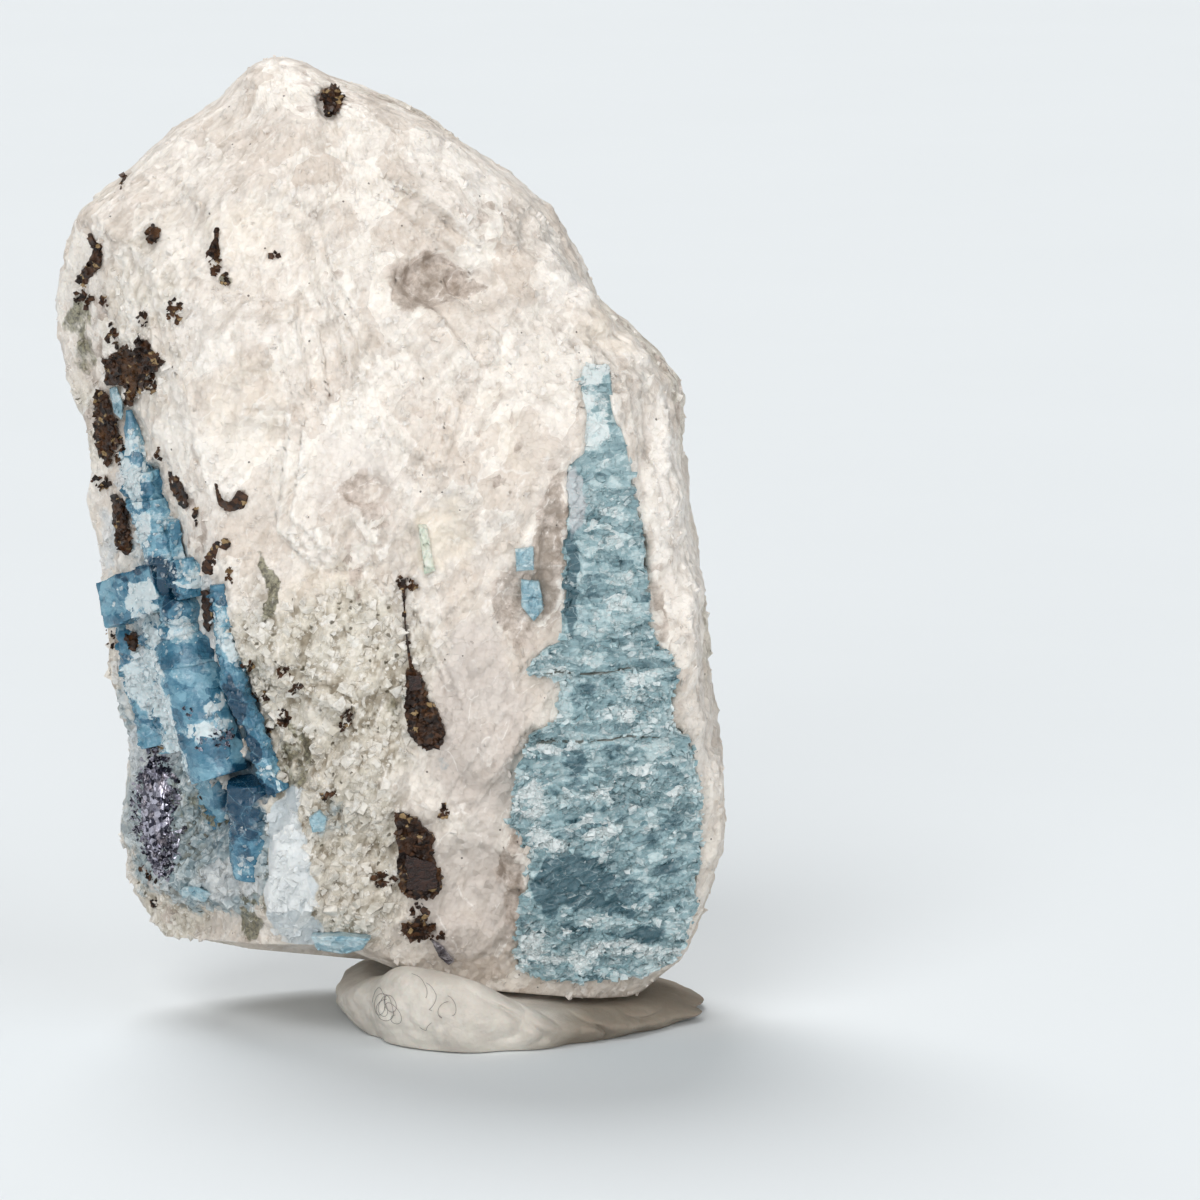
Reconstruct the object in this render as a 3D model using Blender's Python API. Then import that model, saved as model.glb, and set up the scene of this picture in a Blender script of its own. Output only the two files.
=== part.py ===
"""Aquamarine specimen: blue beryl crystals and dark mica in a slab of quartz and feldspar,
standing on a pad of white putty.

Lengths are in millimetres here and in metres in the meshes. +Z is up, the front of the
specimen faces -Y, and the origin is on the ground under the middle of its box.

The rock is a rounded slab whose sections change with height. Fracture planes cut it flat,
lumps and pits are added to its front, and every crystal sits in a pocket cut for it.
"""

import math

import bmesh
import bpy
import numpy as np
from mathutils import Matrix, Vector

MM = 0.001
GAP = 0.3
# How far a pocket runs out past the face of the crystal that it holds.
POCKET_REACH = 2.5

# The rock: height, left edge, right edge, depth to the front, depth to the back.
ROCK_SECTIONS = np.array(
    [
        (2.0, -9.0, 15.0, 7.0, 9.0),
        (4.2, -13.6, 17.2, 8.2, 10.4),
        (6.0, -15.3, 18.2, 8.6, 11.0),
        (8.0, -16.3, 18.9, 9.1, 11.4),
        (10.5, -16.6, 19.5, 9.6, 11.8),
        (13.0, -16.2, 19.6, 10.0, 12.0),
        (16.0, -16.0, 19.5, 10.4, 12.3),
        (20.0, -17.1, 19.9, 10.8, 12.5),
        (24.2, -17.7, 19.9, 11.0, 12.5),
        (28.0, -18.0, 18.3, 11.0, 12.5),
        (31.2, -18.6, 17.4, 11.0, 12.4),
        (33.0, -18.1, 17.6, 11.0, 12.3),
        (36.0, -18.7, 17.5, 10.9, 12.1),
        (38.7, -19.7, 16.7, 10.6, 11.8),
        (41.4, -20.1, 14.1, 10.2, 11.4),
        (43.4, -20.1, 11.9, 9.8, 11.0),
        (46.0, -19.7, 11.1, 9.3, 10.3),
        (48.6, -19.1, 9.4, 8.6, 9.4),
        (50.6, -16.4, 7.3, 7.8, 8.4),
        (52.4, -14.5, 4.9, 6.8, 7.3),
        (54.0, -12.5, 2.6, 5.8, 6.2),
        (55.4, -10.5, -0.1, 4.4, 5.0),
        (56.8, -9.2, -4.0, 2.6, 3.6),
        (57.6, -8.4, -5.2, 1.4, 2.4),
        (58.0, -7.4, -6.4, 0.4, 1.2),
    ]
)
ROCK_SQUARENESS = 2.8
ROCK_DIVISIONS = 5
FRONT_DENSITY = 0.32
ROCK_SMOOTHING = 0.35
# Chips fade out where the rock is thinner than this, and as close to its underside as this.
EDGE_TAPER = 3.0
UNDERSIDE_FADE = 2.5

# Side fractures, each through three points of the rock's surface.
SIDE_FRACTURES = [
    ((-14.4, -8.6, 49.0), (-7.2, -10.0, 11.0), (-18.0, 0.5, 29.0)),
    ((-16.5, 5.0, 44.0), (-14.5, 7.0, 12.0), (-9.0, 11.3, 30.0)),
    ((17.0, 3.0, 36.0), (19.0, 4.0, 14.0), (12.0, 11.2, 30.0)),
    ((16.2, -6.5, 36.0), (18.6, -6.0, 16.0), (18.4, -2.0, 22.0)),
    ((-6.0, 10.9, 40.0), (4.0, 11.8, 38.0), (-1.0, 9.2, 48.0)),
    ((-4.0, 12.0, 22.0), (10.0, 11.5, 24.0), (4.0, 10.6, 8.0)),
]

# Flat breaks: compass turn of the face from +X, tilt upwards, both in degrees, and how deep it
# cuts into the rounded form.
FLAT_BREAKS = [
    (90, 2, 1.3),
    (62, 14, 1.5),
    (120, -12, 1.5),
    (100, 38, 1.7),
    (75, -34, 1.6),
    (48, -8, 1.3),
    (136, 18, 1.3),
    (-84, 26, 0.9),
    (-60, 34, 1.0),
    (-112, 36, 0.9),
    (-88, -24, 0.7),
    (-60, -10, 0.6),
    (-42, 12, 0.8),
]

# The underside: height = a + b * x + c * y. It rises to the left from the first plane along the
# second, up to the third.
UNDERSIDES = [(3.3, -0.1, -0.02), (0.2, -0.4, -0.6), (4.8, 0.0, -0.14)]

# Lumps (rise above zero) and pits on the front: x, z, half width, half height, lean, rise.
FRONT_RELIEF = [
    (2.6, 45.8, 2.1, 1.5, 10.0, -1.1),
    (4.9, 45.2, 1.6, 1.0, -25.0, -0.9),
    (-0.8, 44.9, 1.2, 1.1, 0.0, -0.4),
    (4.6, 49.2, 3.2, 2.2, -40.0, 0.5),
    (-5.8, 52.6, 2.8, 2.6, 35.0, 0.5),
    (-3.6, 55.6, 0.9, 0.9, 0.0, -0.9),
    (-10.4, 50.2, 3.4, 1.8, 35.0, 0.5),
    (-12.5, 49.2, 1.4, 2.2, 40.0, -0.6),
    (-8.8, 40.6, 3.0, 3.6, -12.0, 0.7),
    (-4.0, 40.0, 1.4, 3.0, -5.0, -0.4),
    (-1.6, 33.6, 1.3, 1.0, 0.0, -0.6),
    (-2.0, 29.6, 1.0, 2.2, 10.0, -0.5),
    (1.6, 35.6, 3.4, 2.6, -50.0, 0.5),
    (6.6, 35.6, 2.4, 5.4, -28.0, 0.4),
    (9.4, 29.2, 0.8, 3.6, 0.0, -0.7),
    (7.9, 26.2, 1.8, 2.6, 0.0, -0.6),
    (12.0, 43.6, 1.9, 1.3, -20.0, 0.8),
    (14.4, 41.3, 1.6, 0.9, -30.0, 0.6),
    (16.2, 33.0, 1.3, 4.4, -6.0, 0.5),
    (17.4, 24.6, 1.3, 3.6, -8.0, 0.4),
    (4.4, 21.4, 2.6, 4.8, -5.0, -0.5),
    (5.6, 17.8, 2.0, 1.8, 0.0, 0.5),
    (-6.0, 24.8, 2.9, 3.2, -20.0, 0.5),
    (-3.6, 19.6, 2.2, 2.6, -25.0, 0.5),
    (-6.6, 19.6, 1.3, 1.6, 0.0, -0.5),
    (-0.9, 16.4, 1.6, 2.6, -20.0, 0.5),
    (-5.7, 10.6, 1.7, 4.6, -8.0, 1.2),
    (-2.8, 9.0, 1.8, 3.0, 10.0, 0.5),
    (4.6, 10.0, 2.2, 2.2, 0.0, -0.4),
    (4.0, 6.4, 2.0, 1.4, 0.0, 0.6),
    (-10.6, 13.9, 1.1, 1.1, 0.0, -1.1),
    (-12.2, 21.0, 3.4, 9.5, 14.0, -0.8),
    (-8.4, 18.4, 1.3, 4.5, 30.0, -0.7),
    (-13.6, 10.0, 1.8, 1.8, 20.0, 0.6),
    (-11.6, 9.2, 2.0, 1.5, 0.0, 0.8),
    (-9.8, 6.3, 2.8, 1.2, 0.0, -1.0),
]

# Chips of broken rock, each layer with its cell size, tilt of a facet, and step between facets.
CHIP_LAYERS = [(6.4, 0.17, 0.7), (3.1, 0.15, 0.3)]
# Share of the chips' relief that is left where the rock is seen edge on.
EDGE_CHIPS = 0.3

# The long crystal on the right, from its top down: height, left, right, stands proud by.
RIGHT_CRYSTAL = [
    (40.6, 11.1, 12.6, 0.35),
    (38.0, 11.1, 13.1, 0.4),
    (36.0, 11.1, 13.8, 0.45),
    (35.1, 10.2, 13.9, 0.6),
    (31.4, 10.1, 14.5, 0.9),
    (27.0, 10.0, 15.0, 1.0),
    (24.5, 10.0, 15.3, 1.0),
    (23.7, 8.3, 15.7, 1.0),
    (22.9, 8.0, 16.5, 1.0),
    (22.4, 9.8, 16.6, 0.9),
    (19.9, 9.7, 16.4, 0.9),
    (19.4, 7.8, 16.5, 1.0),
    (18.4, 7.7, 17.3, 1.0),
    (16.4, 7.2, 17.8, 1.0),
    (13.8, 6.9, 17.9, 0.9),
    (12.4, 7.9, 17.9, 0.8),
    (8.6, 7.6, 17.7, 0.8),
    (5.6, 7.3, 17.0, 0.7),
    (4.9, 8.6, 15.6, 0.6),
]
RIGHT_CRYSTAL_BACK = -4.6
RIGHT_CRYSTAL_DEPTH = 2.4
RIGHT_CRYSTAL_BEVEL = 0.9

# Prisms of the left cluster: start x, z, end x, z, depth of the axis below the rock's
# surface, start radius, end radius, number of sides, turn about the axis in degrees.
LEFT_CLUSTER = {
    "spike": (-15.7, 37.2, -15.0, 31.0, 0.5, 0.3, 1.45, 6, 0),
    "upper_step": (-14.4, 32.8, -14.0, 28.6, 0.6, 1.35, 1.5, 6, 20),
    "side_step": (-13.3, 31.0, -13.0, 28.0, 0.3, 0.8, 0.95, 4, 30),
    "end_lobe": (-12.8, 26.6, -12.8, 24.9, 0.2, 1.15, 1.35, 8, 10),
    "second_lobe": (-12.8, 25.1, -12.7, 23.6, 0.2, 1.25, 1.3, 8, 35),
    "barrel_top": (-12.7, 24.1, -12.3, 22.4, 0.4, 1.5, 2.05, 10, 0),
    "barrel": (-12.35, 22.6, -10.4, 15.2, 0.4, 2.0, 1.95, 10, 0),
    "ridge_top": (-10.3, 28.2, -9.8, 21.4, 0.5, 0.75, 0.85, 5, 15),
    "ridge": (-9.85, 21.8, -7.2, 15.2, 0.5, 0.85, 0.8, 5, 40),
    "side_strip": (-16.1, 24.6, -14.0, 16.6, 0.9, 1.0, 1.35, 6, 10),
    "lower_crystal": (-8.9, 16.4, -8.7, 10.2, 1.2, 1.7, 1.3, 6, 30),
    "lower_side": (-10.6, 15.6, -10.2, 11.2, 2.6, 1.7, 1.3, 5, 0),
}
# The square-ended crystal: centre x, z, width, height, thickness, lean of its top edge, turn.
BLOCK_CENTRE = (-14.95, 26.2)
BLOCK_SIZE = (5.6, 2.6, 3.0)
BLOCK_SLOPE = 19.0
BLOCK_TURN = 50.0

# Small crystals seen as outlines on the rock's face: points (x, z), thickness, proud by.
SMALL_CRYSTALS = {
    "aquamarine_small_square": ([(7.2, 30.2), (8.3, 30.3), (8.3, 28.9), (7.3, 28.8)], 1.4, 0.35),
    "aquamarine_small_pale": ([(7.5, 28.3), (8.6, 28.1), (8.9, 26.4), (8.3, 25.7), (7.6, 26.6)], 1.2, 0.3),
    "aquamarine_lower_edge": (
        [(-4.9, 6.8), (-3.2, 6.9), (-1.4, 6.7), (-1.9, 5.9), (-3.1, 5.6), (-4.6, 5.9)],
        1.6,
        0.9,
    ),
    "aquamarine_grain": ([(-5.0, 14.2), (-4.4, 14.6), (-3.9, 14.1), (-4.1, 13.3), (-4.8, 13.3)], 1.2, 0.3),
    "aquamarine_foot": ([(-13.2, 8.6), (-12.0, 9.0), (-11.0, 8.7), (-11.4, 8.0), (-12.8, 8.0)], 1.5, 0.7),
    "aquamarine_in_mica": (
        [(-17.0, 38.6), (-16.5, 38.8), (-16.1, 37.9), (-16.2, 36.9), (-16.7, 37.2)],
        1.0,
        0.45,
    ),
    "green_crystal": ([(1.5, 31.6), (2.0, 31.6), (2.5, 28.9), (1.9, 28.7)], 1.0, 0.3),
}

# Mica plates, in the same form.
MICA_PLATES = {
    "mica_top": ([(-4.3, 56.2), (-3.6, 56.6), (-3.0, 56.0), (-3.3, 55.2), (-3.9, 55.0)], 1.6, 0.5),
    "mica_star": ([(-11.0, 47.6), (-10.6, 48.0), (-10.3, 48.7), (-10.0, 47.5), (-10.3, 46.9)], 0.8, 0.25),
    "mica_hexagon": (
        [(-14.5, 48.4), (-14.2, 48.8), (-13.8, 48.5), (-13.9, 47.9), (-14.2, 47.7), (-14.5, 47.9)],
        0.8,
        0.35,
    ),
    "mica_ring": (
        [(-18.7, 47.4), (-17.6, 47.5), (-17.2, 46.8), (-17.5, 45.7), (-18.9, 44.8), (-18.9, 45.7),
         (-18.1, 46.2), (-18.0, 46.8)],
        1.1,
        0.4,
    ),
    "mica_upper_left": (
        [(-17.4, 40.3), (-16.3, 41.0), (-15.3, 41.0), (-15.1, 42.4), (-14.3, 41.6), (-13.4, 40.9),
         (-14.4, 40.1), (-15.2, 39.4), (-15.6, 37.9), (-15.9, 37.9), (-16.0, 38.9), (-16.5, 39.2),
         (-17.1, 38.9)],
        1.5,
        0.5,
    ),
    "mica_edge": (
        [(-17.8, 38.3), (-17.2, 38.3), (-16.9, 36.9), (-16.5, 36.6), (-16.6, 35.4), (-17.0, 34.6),
         (-17.2, 33.7), (-17.7, 34.4), (-18.1, 36.2)],
        1.2,
        0.45,
    ),
    "mica_left_bar": (
        [(-17.2, 31.9), (-16.3, 31.8), (-16.2, 29.6), (-16.4, 28.7), (-17.1, 29.2), (-17.0, 30.6)],
        1.1,
        0.4,
    ),
    "mica_flake": (
        [(-13.2, 34.1), (-12.7, 34.3), (-12.3, 33.4), (-12.4, 32.2), (-12.9, 32.7), (-13.1, 33.2)],
        0.9,
        0.45,
    ),
    "mica_hook": (
        [(-10.5, 34.0), (-10.2, 34.0), (-10.0, 33.0), (-9.4, 33.0), (-9.1, 33.6), (-8.5, 33.6),
         (-8.5, 33.0), (-8.9, 32.5), (-9.6, 32.3), (-10.2, 32.5)],
        0.7,
        0.25,
    ),
    "mica_curved": (
        [(-11.2, 28.6), (-11.0, 29.6), (-10.6, 30.2), (-9.5, 30.5), (-9.6, 30.0), (-10.2, 29.8),
         (-10.6, 29.2), (-10.7, 28.4)],
        0.9,
        0.4,
    ),
    "mica_blade": ([(-11.5, 27.0), (-11.1, 27.2), (-10.7, 26.2), (-10.8, 24.9), (-11.3, 25.4)], 0.9, 0.5),
    "mica_grain": ([(-16.3, 23.4), (-15.8, 23.6), (-15.4, 23.1), (-15.6, 22.6), (-16.2, 22.6)], 1.0, 0.9),
    "mica_vein": (
        [(0.4, 28.4), (0.9, 28.7), (1.8, 28.0), (2.1, 27.5), (1.3, 27.6), (0.85, 27.9), (0.8, 26.8),
         (1.1, 24.9), (1.4, 23.4), (1.0, 23.4), (0.7, 25.0), (0.5, 27.6)],
        0.8,
        0.2,
    ),
    "mica_middle_book": (
        [(0.9, 22.9), (1.7, 22.8), (2.0, 21.4), (2.9, 19.6), (2.9, 18.6), (2.1, 18.2), (1.2, 18.8),
         (0.8, 20.2)],
        1.8,
        0.5,
    ),
    "mica_lower_book": (
        [(0.0, 14.4), (0.9, 14.2), (2.3, 12.9), (2.4, 11.2), (2.8, 10.3), (2.6, 9.2), (1.3, 9.0),
         (0.3, 9.6), (0.3, 12.2)],
        1.9,
        0.5,
    ),
    "mica_bottom": ([(0.4, 7.3), (1.3, 7.6), (2.2, 7.1), (1.9, 6.5), (1.0, 6.4)], 1.2, 0.45),
    "grey_crystals": ([(2.2, 6.4), (2.9, 6.0), (3.5, 5.0), (3.2, 4.7), (2.6, 5.3)], 1.2, 0.6),
}

# The plates that lie against the left cluster, which is cut back for them.
BESIDE_CLUSTER = ["mica_left_bar", "mica_flake", "mica_curved", "mica_blade", "mica_grain", "aquamarine_foot"]

# The metallic crust: centre x, z and half sizes across, through and up.
CRUST_CENTRE = (-14.3, 12.6)
CRUST_SIZE = (1.2, 0.8, 3.6)
CRUST_TURN = 50.0
CRUST_BUMP = 0.22

# The putty: outline of its foot on the ground, seen from above.
PUTTY_OUTLINE = [
    (-2.3, 1.0),
    (-1.9, -4.8),
    (0.2, -9.6),
    (4.4, -11.6),
    (8.4, -10.4),
    (12.4, -7.4),
    (16.0, -3.8),
    (17.6, 1.6),
    (15.6, 7.0),
    (10.0, 9.6),
    (4.0, 9.2),
    (-0.8, 6.6),
]
PUTTY_BULGE = 0.9
PUTTY_POINTS = 60
PUTTY_FOLDS = [(10.4, -8.9, 0.5), (14.2, -5.6, 0.45), (-1.2, -7.4, 0.4), (6.4, -11.0, 0.35)]

# Moves every piece, so that the middle of the specimen's box stands over the origin.
CENTRE_SHIFT = (0.27, 0.0)

SEED = 7


def plane_through(points):
    """The unit normal, pointing away from the rock's axis, and the distance of a plane."""
    first, second, third = (np.array(point, dtype=float) for point in points)
    normal = np.cross(second - first, third - first)
    normal = normal / np.linalg.norm(normal)
    distance = float(normal @ first)
    if distance < 0.0 or normal[0] * first[0] + normal[1] * first[1] < 0.0:
        normal = -normal
        distance = -distance
    return normal, distance


def section_at(height):
    """Left, right, front and back of the rock at a height, between the listed sections."""
    heights = ROCK_SECTIONS[:, 0]
    return [np.interp(height, heights, ROCK_SECTIONS[:, column]) for column in (1, 2, 3, 4)]


def lattice_random(cells, seed):
    """Repeatable numbers from 0 to 1 for whole-number cells, by mixing their bits."""
    cells = cells.astype(np.int64)
    mixed = cells[..., 0] * 73856093 ^ cells[..., 1] * 19349663 ^ cells[..., 2] * 83492791
    mixed = (mixed ^ seed * 2654435761) & 0xFFFFFFFF
    mixed = ((mixed ^ (mixed >> 16)) * 73244475) & 0xFFFFFFFF
    mixed = ((mixed ^ (mixed >> 16)) * 73244475) & 0xFFFFFFFF
    mixed = mixed ^ (mixed >> 16)
    return mixed / 4294967295.0


def chips(points, size, tilt, step, seed):
    """Relief of broken rock: each point takes the tilted plane of the nearest cell centre."""
    scaled = points / size
    base = np.floor(scaled)
    nearest = np.full(len(points), 9.0)
    relief = np.zeros(len(points))
    for offset in np.ndindex(3, 3, 3):
        cell = base + np.array(offset) - 1.0
        jitter = np.stack([lattice_random(cell, seed + axis) for axis in range(3)], axis=-1)
        away = scaled - (cell + jitter)
        distance = (away**2).sum(axis=1)
        slope = np.stack([lattice_random(cell, seed + 3 + axis) - 0.5 for axis in range(3)], axis=-1)
        height = 2.0 * tilt * size * (slope * away).sum(axis=1)
        height += step * (lattice_random(cell, seed + 6) - 0.5)
        closer = distance < nearest
        relief = np.where(closer, height, relief)
        nearest = np.where(closer, distance, nearest)
    return relief


def front_relief(x, z):
    """Height of the listed lumps and pits at points of the front."""
    relief = np.zeros_like(x)
    for centre_x, centre_z, half_width, half_height, lean, rise in FRONT_RELIEF:
        turn = math.radians(lean)
        across = (x - centre_x) * math.cos(turn) + (z - centre_z) * math.sin(turn)
        along = (z - centre_z) * math.cos(turn) - (x - centre_x) * math.sin(turn)
        reach = np.sqrt((across / half_width) ** 2 + (along / half_height) ** 2)
        rim = np.clip((1.25 - reach) / 0.6, 0.0, 1.0)
        relief += rise * rim * rim * (3.0 - 2.0 * rim)
    return relief


def underside_height(x, y):
    """Height of the rock's underside over a place on the ground."""
    levels = [level + across * x + through * y for level, across, through in UNDERSIDES]
    return np.minimum(np.maximum(levels[0], levels[1]), levels[2])


def section_point(angle, height):
    """A point of the rounded form: the section is a rounded box read by its polar angle."""
    left, right, front, back = section_at(height)
    half_width = (right - left) / 2.0
    depth = np.where(np.sin(angle) < 0.0, front, back)
    across = np.abs(np.cos(angle) / half_width) ** ROCK_SQUARENESS
    through = np.abs(np.sin(angle) / depth) ** ROCK_SQUARENESS
    radius = (across + through) ** (-1.0 / ROCK_SQUARENESS)
    return radius * np.cos(angle), radius * np.sin(angle), (left + right) / 2.0, half_width, depth


def flat_break(turn, tilt, cut):
    """The plane that cuts the rounded form to a depth, facing a compass turn and a tilt."""
    turn = math.radians(turn)
    tilt = math.radians(tilt)
    normal = np.array([math.cos(turn) * math.cos(tilt), math.sin(turn) * math.cos(tilt), math.sin(tilt)])
    angle, height = np.meshgrid(np.linspace(0.0, 2.0 * math.pi, 73), np.linspace(3.0, 58.0, 56))
    x, y, centre, _, _ = section_point(angle, height)
    reach = (x + centre) * normal[0] + y * normal[1] + height * normal[2]
    return normal, float(reach.max()) - cut


FRACTURE_PLANES = [plane_through(points) for points in SIDE_FRACTURES]
FRACTURE_PLANES += [flat_break(*values) for values in FLAT_BREAKS]


def chip_relief(points, facing):
    """All layers of chips, weaker where the rock is seen edge on."""
    lift = sum(chips(points, *layer, SEED + 20 * index) for index, layer in enumerate(CHIP_LAYERS))
    return lift * (EDGE_CHIPS + (1.0 - EDGE_CHIPS) * np.abs(facing))


def rock_surface(angle, height):
    """The rock's surface points. Fractures pull the rounded form in towards its section's
    centre, chips and listed relief move it along its normal, and the underside cuts it flat."""
    x, y, centre, half_width, depth = section_point(angle, height)
    for normal, distance in FRACTURE_PLANES:
        reach = normal[0] * x + normal[1] * y
        room = distance - normal[0] * centre - normal[2] * height
        pull = np.where(reach > room, room / np.maximum(reach, 1e-6), 1.0)
        x *= np.clip(pull, 0.05, 1.0)
        y *= np.clip(pull, 0.05, 1.0)
    outward = np.stack([x / half_width**2, y / depth**2, 0.012 * (height - 27.0) / 27.0], axis=-1)
    outward /= np.linalg.norm(outward, axis=-1, keepdims=True)
    x = x + centre
    points = np.stack([x, y, height], axis=-1)
    edge = np.clip(np.minimum(half_width, depth) / EDGE_TAPER, 0.0, 1.0)
    facing = np.clip(-1.8 * outward[:, 1] - 0.2, 0.0, 1.0)
    above = np.clip((height - underside_height(x, y)) / UNDERSIDE_FADE, 0.0, 1.0)
    lift = (chip_relief(points, outward[:, 1]) * edge + front_relief(x, height) * facing) * above
    points += outward * lift[:, None]
    points[:, 2] = np.maximum(points[:, 2], underside_height(points[:, 0], points[:, 1]))
    return points


def rock_front(x, z):
    """Depth y of the rock's front at a place of its face, without chips and relief."""
    left, right, front, _ = section_at(z)
    across = (x - (left + right) / 2.0) / ((right - left) / 2.0)
    y = -front * max(0.0, 1.0 - abs(across) ** ROCK_SQUARENESS) ** (1.0 / ROCK_SQUARENESS)
    for normal, distance in FRACTURE_PLANES:
        if normal[1] < 0.0:
            y = max(y, (distance - normal[0] * x - normal[2] * z) / normal[1])
    return float(y)


def seat(outline):
    """The flat seat that fits the rock's chipped face best at an outline: depth y = a + b x + c z."""
    x, z = np.array(outline, dtype=float).T
    smooth = np.array([rock_front(*point) for point in outline])
    on_face = np.stack([x, smooth, z], axis=-1)
    lift = chip_relief(on_face, np.ones_like(x)) + front_relief(x, z)
    terms = np.stack([np.ones_like(x), x, z], axis=-1)
    fit, *_ = np.linalg.lstsq(terms, smooth - lift, rcond=None)
    return fit


def new_collection(name, hidden=False):
    collection = bpy.data.collections.new(name)
    bpy.context.scene.collection.children.link(collection)
    collection.hide_render = hidden
    return collection


def new_material(name, color, roughness, metallic=0.0):
    material = bpy.data.materials.new(name)
    material.use_nodes = True
    shader = material.node_tree.nodes["Principled BSDF"]
    shader.inputs["Base Color"].default_value = (*color, 1.0)
    shader.inputs["Roughness"].default_value = roughness
    shader.inputs["Metallic"].default_value = metallic
    material.diffuse_color = (*color, 1.0)
    return material


def add_object(bm, name, collection, material=None):
    """Turns a bmesh in millimetres into a centred object in metres, with its faces pointing out."""
    bmesh.ops.translate(bm, vec=Vector((*CENTRE_SHIFT, 0.0)), verts=bm.verts)
    bmesh.ops.scale(bm, vec=Vector((MM, MM, MM)), verts=bm.verts)
    bmesh.ops.recalc_face_normals(bm, faces=bm.faces)
    mesh = bpy.data.meshes.new(name)
    bm.to_mesh(mesh)
    bm.free()
    obj = bpy.data.objects.new(name, mesh)
    collection.objects.link(obj)
    if material is None:
        obj.hide_render = True
        obj.display_type = "WIRE"
    else:
        mesh.materials.append(material)
    return obj


def boolean(obj, operation, others):
    """Adds a Boolean modifier for each of the other objects."""
    for other in others:
        modifier = obj.modifiers.new(f"{operation.lower()} {other.name}", "BOOLEAN")
        modifier.operation = operation
        modifier.solver = "EXACT"
        modifier.object = other


def rock(collection, material):
    """A sphere whose heights become the rock's and whose turns become section angles."""
    bm = bmesh.new()
    bmesh.ops.create_icosphere(bm, subdivisions=ROCK_DIVISIONS, radius=1.0)
    unit = np.array([vert.co[:] for vert in bm.verts])
    angle = np.arctan2(0.76 * unit[:, 1], unit[:, 0])
    angle = angle - FRONT_DENSITY * np.cos(angle)
    polar = np.arccos(np.clip(-unit[:, 2], -1.0, 1.0)) / math.pi
    share = 0.8 * polar + 0.2 * (1.0 - np.cos(polar * math.pi)) / 2.0
    lowest, highest = ROCK_SECTIONS[0, 0], ROCK_SECTIONS[-1, 0]
    points = rock_surface(angle, lowest + (highest - lowest) * share)
    for vert, point in zip(bm.verts, points):
        vert.co = point
    bmesh.ops.smooth_vert(
        bm, verts=bm.verts, factor=ROCK_SMOOTHING, use_axis_x=True, use_axis_y=True, use_axis_z=True
    )
    return add_object(bm, "quartz_matrix", collection, material)


def prism(start, end, start_radius, end_radius, sides, turn, grow=0.0):
    """A tapered prism between two points, made from a cone, in millimetres."""
    bm = bmesh.new()
    axis = Vector(end) - Vector(start)
    widen = grow / math.cos(math.pi / sides)
    bmesh.ops.create_cone(
        bm,
        cap_ends=True,
        segments=sides,
        radius1=start_radius + widen,
        radius2=end_radius + widen,
        depth=axis.length + 2.0 * grow,
    )
    middle = Matrix.Translation((Vector(start) + Vector(end)) / 2.0)
    place = middle @ axis.to_track_quat("Z", "Y").to_matrix().to_4x4()
    bmesh.ops.transform(bm, matrix=place @ Matrix.Rotation(math.radians(turn), 4, "Z"), verts=bm.verts)
    return bm


def cluster_prism(values, grow):
    """One prism of the left cluster, laid along the rock's surface."""
    start_x, start_z, end_x, end_z, below, start_radius, end_radius, sides, turn = values
    start = (start_x, rock_front(start_x, start_z) + below, start_z)
    end = (end_x, rock_front(end_x, end_z) + below, end_z)
    return prism(start, end, start_radius, end_radius, sides, turn, grow)


def cluster_block(grow):
    """The square-ended crystal, a box turned to lie on the left flank."""
    bm = bmesh.new()
    bmesh.ops.create_cube(bm, size=1.0)
    size = [length + 2.0 * grow for length in BLOCK_SIZE]
    centre_x, centre_z = BLOCK_CENTRE
    place = (
        Matrix.Translation((centre_x, rock_front(centre_x, centre_z) + 0.4, centre_z))
        @ Matrix.Rotation(math.radians(-BLOCK_TURN), 4, "Z")
        @ Matrix.Rotation(math.radians(-BLOCK_SLOPE), 4, "Y")
        @ Matrix.Diagonal((*size, 1.0))
    )
    bmesh.ops.transform(bm, matrix=place, verts=bm.verts)
    return bm


def lofted_crystal(grow):
    """The right crystal: a six-sided section at each listed height, joined by faces, because its
    sections differ from row to row where it steps. Its pocket is the same, grown by the gap."""
    bm = bmesh.new()
    rings = []
    last = len(RIGHT_CRYSTAL) - 1
    reach = POCKET_REACH if grow else 0.0
    for index, (z, left, right, proud) in enumerate(RIGHT_CRYSTAL):
        bevel = min(RIGHT_CRYSTAL_BEVEL, 0.3 * (right - left))
        y_left = rock_front(left + 1.0, z) - proud
        y_right = rock_front(right - 0.6, z) - 0.6 * proud
        level = z + grow * (index == 0) - grow * (index == last)
        outline = [
            (left - grow, RIGHT_CRYSTAL_BACK + grow),
            (left - grow, y_left + bevel - reach),
            (left + bevel - grow, y_left - reach),
            (right - bevel / 2.0 + grow, y_right - reach),
            (right + grow, y_right + bevel - reach),
            (right + grow, max(RIGHT_CRYSTAL_BACK, y_right + RIGHT_CRYSTAL_DEPTH) + grow),
        ]
        rings.append([bm.verts.new((x, y, level)) for x, y in outline])
    for upper, lower in zip(rings, rings[1:]):
        for side in range(len(upper)):
            following = (side + 1) % len(upper)
            bm.faces.new((upper[side], upper[following], lower[following], lower[side]))
    bm.faces.new(rings[0])
    bm.faces.new(rings[-1])
    bmesh.ops.recalc_face_normals(bm, faces=bm.faces)
    return bm


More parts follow.
